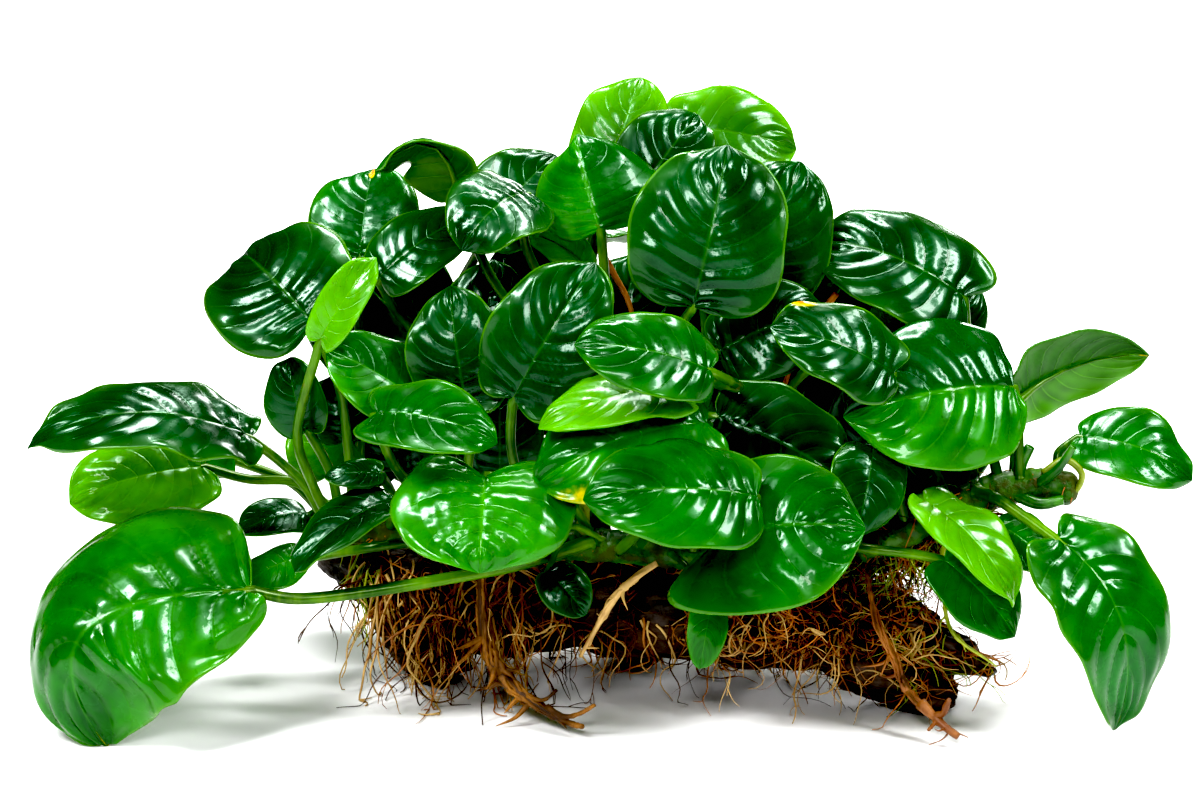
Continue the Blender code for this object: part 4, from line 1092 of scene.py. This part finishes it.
# The pieces
def make_wood():
    """Make the driftwood: log and limbs skinned, melted into one and carved into fibres."""
    parts = []
    for index, (name, stations) in enumerate(WOOD.items()):
        rings = lumpy_rings(stations, 28, WOOD_ROUGH, index, 34 if name == "wood_log" else 18)
        parts.append(skin(name, rings))
    wood = join("driftwood", parts)
    melt = wood.modifiers.new("melt", "REMESH")
    melt.mode = "VOXEL"
    melt.voxel_size = sizes().wood_grain
    wood = as_mesh(wood)
    shape = bmesh.new()
    shape.from_mesh(wood.data)
    for _ in range(2):
        bmesh.ops.smooth_vert(shape, verts=shape.verts, factor=0.5, use_axis_x=True,
                              use_axis_y=True, use_axis_z=True)
    shape.normal_update()
    for vert in shape.verts:
        spot = vert.co / MM
        fibre = 1 - 2 * abs(noise.noise(Vector((spot.x * 0.022, spot.y * 0.20, spot.z * 0.20))))
        crag = noise.noise(spot * 0.075 + Vector((9, 0, 0)))
        split = noise.noise(Vector((spot.x * 0.05, spot.y * 0.55, spot.z * 0.55)))
        carve = 1.1 * fibre + 2.0 * crag + 0.8 * split - 1.6
        vert.co += vert.normal * carve * MM
        vert.co.z = max(vert.co.z, 0.0)
    shape.to_mesh(wood.data)
    shape.free()
    wood.data.shade_smooth()
    dress(wood, [wood_finish()], list(WOOD))
    return wood


def scar_rings(stations, sides, rough, seed, length):
    """Give a rhizome's rings: ridged by old leaf scars and rounded at both ends."""
    count = int(length / 0.8)
    rings = lumpy_rings(stations, sides, rough, seed, count)
    for index, ring in enumerate(rings):
        middle = sum(ring, Vector()) / len(ring)
        from_end = min(index, count - 1 - index) * length / count
        cap = math.sqrt(max(0.02, 1 - max(0.0, 1 - from_end / 3.0) ** 2))
        scar = abs(math.sin(math.pi * index * 0.8 / SCAR_STEP)) ** 0.5
        for corner, point in enumerate(ring):
            knob = noise.noise(point * 0.32) * 0.10 + noise.noise(point * 0.9) * 0.06
            ring[corner] = middle + (point - middle) * cap * (0.94 + 0.09 * scar + knob)
    return rings


def make_rhizomes():
    """Make the rhizomes, each with its scars and a beard of old fibres."""
    rng = random.Random(11)
    for index, (name, (route, radius)) in enumerate(RHIZOMES.items()):
        stations = [(point, (radius, radius)) for point in route]
        length = sum((Vector(b) - Vector(a)).length for a, b in zip(route, route[1:]))
        rings = scar_rings(stations, 20, RHIZOME_ROUGH, 20 + index, length)
        body = skin(name + "_body", rings)
        body.data.materials.append(rhizome_finish())
        runs = []
        for _ in range(int(length * 0.9)):
            start = Vector(rng.choice(rng.choice(rings[2:-2])))
            sweep = Vector((rng.uniform(-1, 1), rng.uniform(-1, 1), rng.uniform(-0.8, 0.5)))
            reach = rng.uniform(2.5, 6)
            bend = Vector((rng.uniform(-1, 1), rng.uniform(-1, 1), rng.uniform(-1, 0))) * 1.6
            runs.append([(start + sweep * reach * t + bend * t * t, 0.22 * (1.1 - t))
                         for t in (0, 0.25, 0.5, 0.75, 1)])
        beard = tubes(name + "_fibres", runs, 4)
        beard.data.materials.append(root_finish("rust"))
        parts = [body, beard]
        for rhizome, tint, thick, course in STALKS:
            if rhizome == name:
                radii = [thick * (1.3 - 0.7 * step / len(course)) for step in range(len(course))]
                run = along_run([place(*point) for point in course], radii, 40)
                stalk = tubes(name + "_stalk", [run], 8)
                stalk.data.materials.append(root_finish(tint))
                parts.append(stalk)
        piece = join(name + "_stem", parts)
        dress(piece, None, [name])


def along_run(route, radii, count):
    """Give a smooth run of points and radii through a route."""
    points = smooth_path(route, count)
    sizes_along = smooth_path([(radius, 0, 0) for radius in radii], count)
    return [(point, max(0.08, size.x)) for point, size in zip(points, sizes_along)]


def make_thick_roots():
    """Make the thick roots: a core with fibrous strands wound along it, and side roots."""
    rng = random.Random(5)
    for name, stations in ROOTS.items():
        route = [place(*point) for point, radius in stations]
        radii = [radius for point, radius in stations]
        tint, strands, (top, foot) = ROOT_FORMS[name]
        core = [(point, radius * (top + (foot - top) * min(1.0, step / 30)))
                for step, (point, radius) in enumerate(along_run(route, radii, 60))]
        runs = []
        for strand in range(strands):
            turn = rng.uniform(0, math.tau)
            run = []
            for step, (point, radius) in enumerate(core[:-2]):
                turn += rng.uniform(-0.10, 0.22)
                ahead = (core[step + 1][0] - point).normalized()
                side = ahead.orthogonal().normalized()
                spoke = side * math.cos(turn) + ahead.cross(side) * math.sin(turn)
                lift = radius * (0.72 + 0.5 * noise.noise(point * 0.3 + Vector((strand * 3, 0, 0))))
                run.append((point + spoke * lift, radius * rng.uniform(0.16, 0.34)))
            runs.append(run[rng.randrange(0, 14):len(run) - rng.randrange(0, 12)])
        for _ in range(3 + strands // 2):
            step = rng.randrange(18, 58)
            point, radius = core[step]
            way = Vector((rng.uniform(-1, 1), rng.uniform(-1, 0.4), rng.uniform(-0.9, 0.3)))
            reach = rng.uniform(4, 11)
            side_route = [point, point + way * reach * 0.5, point + way * reach
                          + Vector((rng.uniform(-2, 2), rng.uniform(-2, 2), rng.uniform(-1, 2)))]
            for spot in side_route:
                spot.z = max(spot.z, 0.6)
            runs.append(along_run(side_route, (radius * 0.5, radius * 0.3, 0.12), 9))
        for root, thick, course in TWIGS:
            if root == name:
                fork = [place(*point) for point in course]
                for spot in fork:
                    spot.z = max(spot.z, thick)
                sizes_on = [thick * (1.25 - 0.7 * step / len(fork)) for step in range(len(fork))]
                runs.append([(point, radius * rng.uniform(0.85, 1.2))
                             for point, radius in along_run(fork, sizes_on, 14)])
        bark = tubes(name + "_bark", runs, 6)
        bark.data.materials.append(root_finish(tint))
        # The core shows between the strands; its darker tint there is painted shade in the creases.
        heart = tubes(name + "_heart", [[(point, radius * 0.74) for point, radius in core]], 10)
        heart.data.materials.append(root_finish(CREASE_SHADE_TINTS.get(tint, tint)))
        dress(join(name + "_strands", [heart, bark]), None, [name])


def wander(rng, start, heading, length, form, wood):
    """Give a fine root's course: it falls, curls and slides over the wood."""
    curl, fall = form
    point = Vector(start)
    seed = Vector((rng.uniform(0, 99), rng.uniform(0, 99), rng.uniform(0, 99)))
    points = [point.copy()]
    for _ in range(max(3, int(length / ROOT_STEP))):
        swirl = noise.noise_vector(point * 0.11 + seed)
        heading = (heading * 0.75 + Vector((0, 0, -fall)) + swirl * curl).normalized()
        point = point + heading * ROOT_STEP
        near, normal, index, far = wood.find_nearest(to_frame(point))
        if near is not None:
            near = near / MM - FOOTPRINT_SHIFT
            if (point - near).dot(normal) < ROOT_CLEAR:
                point = near + normal * (ROOT_CLEAR + rng.uniform(0, 0.8))
        point.z = max(point.z, 0.5)
        points.append(point.copy())
    return points


def fine_root(rng, start, heading, length, thick, form, wood):
    """Give the runs of one fine root and its side roots."""
    points = wander(rng, start, heading, length, form, wood)
    last = len(points) - 1
    runs = [[(point, thick * (1.05 - 0.7 * index / last)) for index, point in enumerate(points)]]
    for _ in range(rng.choice((0, 1, 1, 2))):
        index = rng.randrange(1, last)
        way = (points[index + 1] - points[index - 1]).normalized()
        way = (way + Vector((rng.uniform(-1, 1), rng.uniform(-1, 1), rng.uniform(-0.8, 0.6))))
        side = wander(rng, points[index], way.normalized(), rng.uniform(5, 18), form, wood)
        runs.append([(point, thick * 0.6 * (1.05 - 0.7 * step / (len(side) - 1)))
                     for step, point in enumerate(side)])
    return runs


def make_fine_roots():
    """Make the mats of fine roots that hang over the wood, one piece to a place and tint."""
    wood_piece = bpy.data.objects["driftwood"]
    wood = BVHTree.FromObject(wood_piece, bpy.context.evaluated_depsgraph_get())
    rng = random.Random(23)
    noise.seed_set(SWIRL_SEED)
    for place_name, mat in FINE_ROOTS.items():
        made = {tint: [] for tint in mat["tints"]}
        for _ in range(mat["count"]):
            tint = rng.choice(list(made))
            front = -1 if mat["front"] else 1
            if "along" in mat:
                start = smooth_path(mat["along"], 60)[rng.randrange(60)]
                start += Vector([rng.uniform(-1, 1) * reach for reach in ROOT_SCATTER])
            else:
                eye = to_frame((rng.uniform(*mat["x"]), 90 * front, rng.uniform(*mat["z"])))
                hit = wood.ray_cast(eye, Vector((0, -front, 0)))[0]
                if hit is None:
                    continue
                start = hit / MM - FOOTPRINT_SHIFT + Vector((0, front * ROOT_CLEAR, 0))
            heading = Vector((rng.uniform(-0.8, 0.8), front * rng.uniform(0, 0.8),
                              rng.uniform(-1, 0.3)))
            thick = rng.uniform(*mat["thick"]) * (1.3 if tint == "straw" else 1.0)
            made[tint] += fine_root(rng, start, heading.normalized(), rng.uniform(*mat["length"]),
                                    thick, mat["form"], wood)
        for tint, runs in made.items():
            piece = tubes(f"{place_name}_{tint}", runs, 4)
            dress(piece, [root_finish(tint)], mat["nodes"])


def make_leaves():
    """Make every leaf as one piece: blade, petiole and rib."""
    webs = {}
    for item in LEAVES:
        item.seed = LEAVES.index(item) * 0.618 % 1.0
        node = item.joins or item.name
        if node not in webs:
            webs[node] = node_web(node)
        middles = find_petiole(item, webs[node])
        blade = make_blade(item)
        petiole = make_petiole(item, middles)
        piece = join(item.name.replace("leaf_", "") + "_leaf", [blade, petiole])
        dress(piece, None, [node])


def make_stage():
    """Set up the pale floor, the soft lamps and the camera."""
    look = lights()
    shape = bmesh.new()
    bmesh.ops.create_grid(shape, x_segments=4, y_segments=4, size=3.0)
    mesh = bpy.data.meshes.new("floor")
    shape.to_mesh(mesh)
    shape.free()
    floor = new_object("floor", mesh)
    paint = Finish("floor_white", Base_Color=(0.92, 0.92, 0.93), Roughness=0.75,
                   Emission_Color=(1.0, 1.0, 1.0))
    far = paint.add("ShaderNodeVectorMath", {0: paint.place}, operation="LENGTH").outputs[1]
    glow = paint.ease(far, *FLOOR_FADE)
    straight = paint.add("ShaderNodeLightPath").outputs["Is Camera Ray"]
    paint.set(Emission_Strength=paint.math("MULTIPLY", glow, straight))
    mesh.materials.append(paint.material)
    world = bpy.data.worlds.new("studio")
    world.use_nodes = True
    tree = world.node_tree
    sky = tree.nodes["Background"]
    sky.inputs["Color"].default_value = (1.0, 1.0, 1.0, 1.0)
    sky.inputs["Strength"].default_value = look.surround
    backdrop = tree.nodes.new("ShaderNodeBackground")
    seen = tree.nodes.new("ShaderNodeLightPath")
    blend = tree.nodes.new("ShaderNodeMixShader")
    tree.links.new(seen.outputs["Is Camera Ray"], blend.inputs[0])
    tree.links.new(sky.outputs[0], blend.inputs[1])
    tree.links.new(backdrop.outputs[0], blend.inputs[2])
    tree.links.new(blend.outputs[0], tree.nodes["World Output"].inputs["Surface"])
    backdrop.inputs["Color"].default_value = (1.0, 1.0, 1.0, 1.0)
    bpy.context.scene.world = world
    middle = Vector((0.0, 0.0, 0.09))
    for name, spot, size, power in LAMPS:
        lamp = bpy.data.lights.new(name, "AREA")
        lamp.shape = "RECTANGLE"
        lamp.size, lamp.size_y = size
        lamp.energy = power * look.lamp_power
        holder = new_object(name, lamp)
        holder.location = spot
        holder.rotation_euler = (middle - Vector(spot)).to_track_quat("-Z", "Y").to_euler()
    camera = bpy.data.cameras.new("camera")
    camera.lens = VIEW_LENS
    camera.clip_start = 0.05
    eye = new_object("camera", camera)
    away = facing(0, math.degrees(VIEW_TILT)) * VIEW_DISTANCE
    eye.location = to_frame(Vector((0, 0, VIEW_HEIGHT)) + away)
    eye.rotation_euler = (math.pi / 2 - VIEW_TILT, 0, 0)
    bpy.context.scene.camera = eye
    picture = bpy.context.scene.view_settings
    picture.view_transform = "Standard"
    picture.look = "Medium High Contrast"
    picture.use_curve_mapping = True
    picture.curve_mapping.black_level = (BLACK_LEVEL,) * 3
    picture.curve_mapping.update()


# The add-on
class AnubiasSizes(bpy.types.PropertyGroup):
    """Sizes of the surface detail."""

    quilting: bpy.props.FloatProperty(
        name="Quilting", description="How far a blade swells between its side veins",
        default=0.001, min=0.0, max=0.002, unit="LENGTH")
    wood_grain: bpy.props.FloatProperty(
        name="Wood grain", description="Finest detail that the driftwood is carved with",
        default=0.0009, min=0.0005, max=0.003, unit="LENGTH")


def colour_property(name, default):
    """Give a colour setting."""
    return bpy.props.FloatVectorProperty(
        name=name, description=f"{name} where it is lightest", subtype="COLOR", size=3,
        default=default, min=0.0, max=1.0)


class AnubiasColours(bpy.types.PropertyGroup):
    """Colours of the leaves, each tone at its lightest."""

    dark: colour_property("Old dark leaf", (0.003, 0.056, 0.007))
    mature: colour_property("Grown leaf", (0.008, 0.118, 0.004))
    bright: colour_property("Bright leaf", (0.024, 0.200, 0.002))
    young: colour_property("Young leaf", (0.085, 0.310, 0.002))
    margin: colour_property("Leaf margin", (0.090, 0.260, 0.008))


class AnubiasLights(bpy.types.PropertyGroup):
    """Strength of the studio light."""

    surround: bpy.props.FloatProperty(
        name="Surround", description="Strength of the light from all round", default=0.06, min=0.0)
    lamp_power: bpy.props.FloatProperty(
        name="Lamp power", description="Share of each lamp's power", default=1.0, min=0.0)


def sizes():
    """Give the scene's size settings."""
    return bpy.context.scene.anubias_sizes


def colours():
    """Give the scene's colour settings."""
    return bpy.context.scene.anubias_colours


def lights():
    """Give the scene's light settings."""
    return bpy.context.scene.anubias_lights


class ANUBIAS_OT_wood(bpy.types.Operator):
    """Make the driftwood"""

    bl_idname = "anubias.wood"
    bl_label = "Driftwood"

    def execute(self, context):
        make_wood()
        return {"FINISHED"}


class ANUBIAS_OT_rhizomes(bpy.types.Operator):
    """Make the creeping stems"""

    bl_idname = "anubias.rhizomes"
    bl_label = "Rhizomes"

    def execute(self, context):
        make_rhizomes()
        return {"FINISHED"}


class ANUBIAS_OT_thick_roots(bpy.types.Operator):
    """Make the thick roots"""

    bl_idname = "anubias.thick_roots"
    bl_label = "Thick roots"

    def execute(self, context):
        make_thick_roots()
        return {"FINISHED"}


class ANUBIAS_OT_fine_roots(bpy.types.Operator):
    """Make the mats of fine roots over the wood"""

    bl_idname = "anubias.fine_roots"
    bl_label = "Fine roots"

    def execute(self, context):
        make_fine_roots()
        return {"FINISHED"}


class ANUBIAS_OT_leaves(bpy.types.Operator):
    """Make every leaf with its petiole"""

    bl_idname = "anubias.leaves"
    bl_label = "Leaves"

    def execute(self, context):
        make_leaves()
        return {"FINISHED"}


class ANUBIAS_OT_stage(bpy.types.Operator):
    """Set up the floor, the lamps and the camera"""

    bl_idname = "anubias.stage"
    bl_label = "Stage"

    def execute(self, context):
        make_stage()
        return {"FINISHED"}


OPERATORS = (ANUBIAS_OT_wood, ANUBIAS_OT_rhizomes, ANUBIAS_OT_thick_roots,
             ANUBIAS_OT_fine_roots, ANUBIAS_OT_leaves, ANUBIAS_OT_stage)


class ANUBIAS_PT_panel(bpy.types.Panel):
    """Lists the settings and the pieces"""

    bl_idname = "ANUBIAS_PT_panel"
    bl_label = "Anubias on driftwood"
    bl_space_type = "VIEW_3D"
    bl_region_type = "UI"
    bl_category = "Anubias"

    def draw(self, context):
        for group in (sizes(), colours(), lights()):
            for key in group.__annotations__:
                self.layout.prop(group, key)
        for operator in OPERATORS:
            self.layout.operator(operator.bl_idname)


CLASSES = (AnubiasSizes, AnubiasColours, AnubiasLights) + OPERATORS + (ANUBIAS_PT_panel,)
SETTINGS = {
    "anubias_sizes": AnubiasSizes,
    "anubias_colours": AnubiasColours,
    "anubias_lights": AnubiasLights,
}


def register():
    """Add the classes and the scene's settings."""
    for item in CLASSES:
        bpy.utils.register_class(item)
    for name, group in SETTINGS.items():
        setattr(bpy.types.Scene, name, bpy.props.PointerProperty(type=group))


def unregister():
    """Take the settings and the classes away again."""
    for name in SETTINGS:
        delattr(bpy.types.Scene, name)
    for item in reversed(CLASSES):
        bpy.utils.unregister_class(item)


def main():
    """Make the whole plant."""
    register()
    bpy.ops.anubias.stage()
    bpy.ops.anubias.wood()
    bpy.ops.anubias.rhizomes()
    bpy.ops.anubias.thick_roots()
    bpy.ops.anubias.fine_roots()
    bpy.ops.anubias.leaves()


if __name__ == "__main__":
    main()
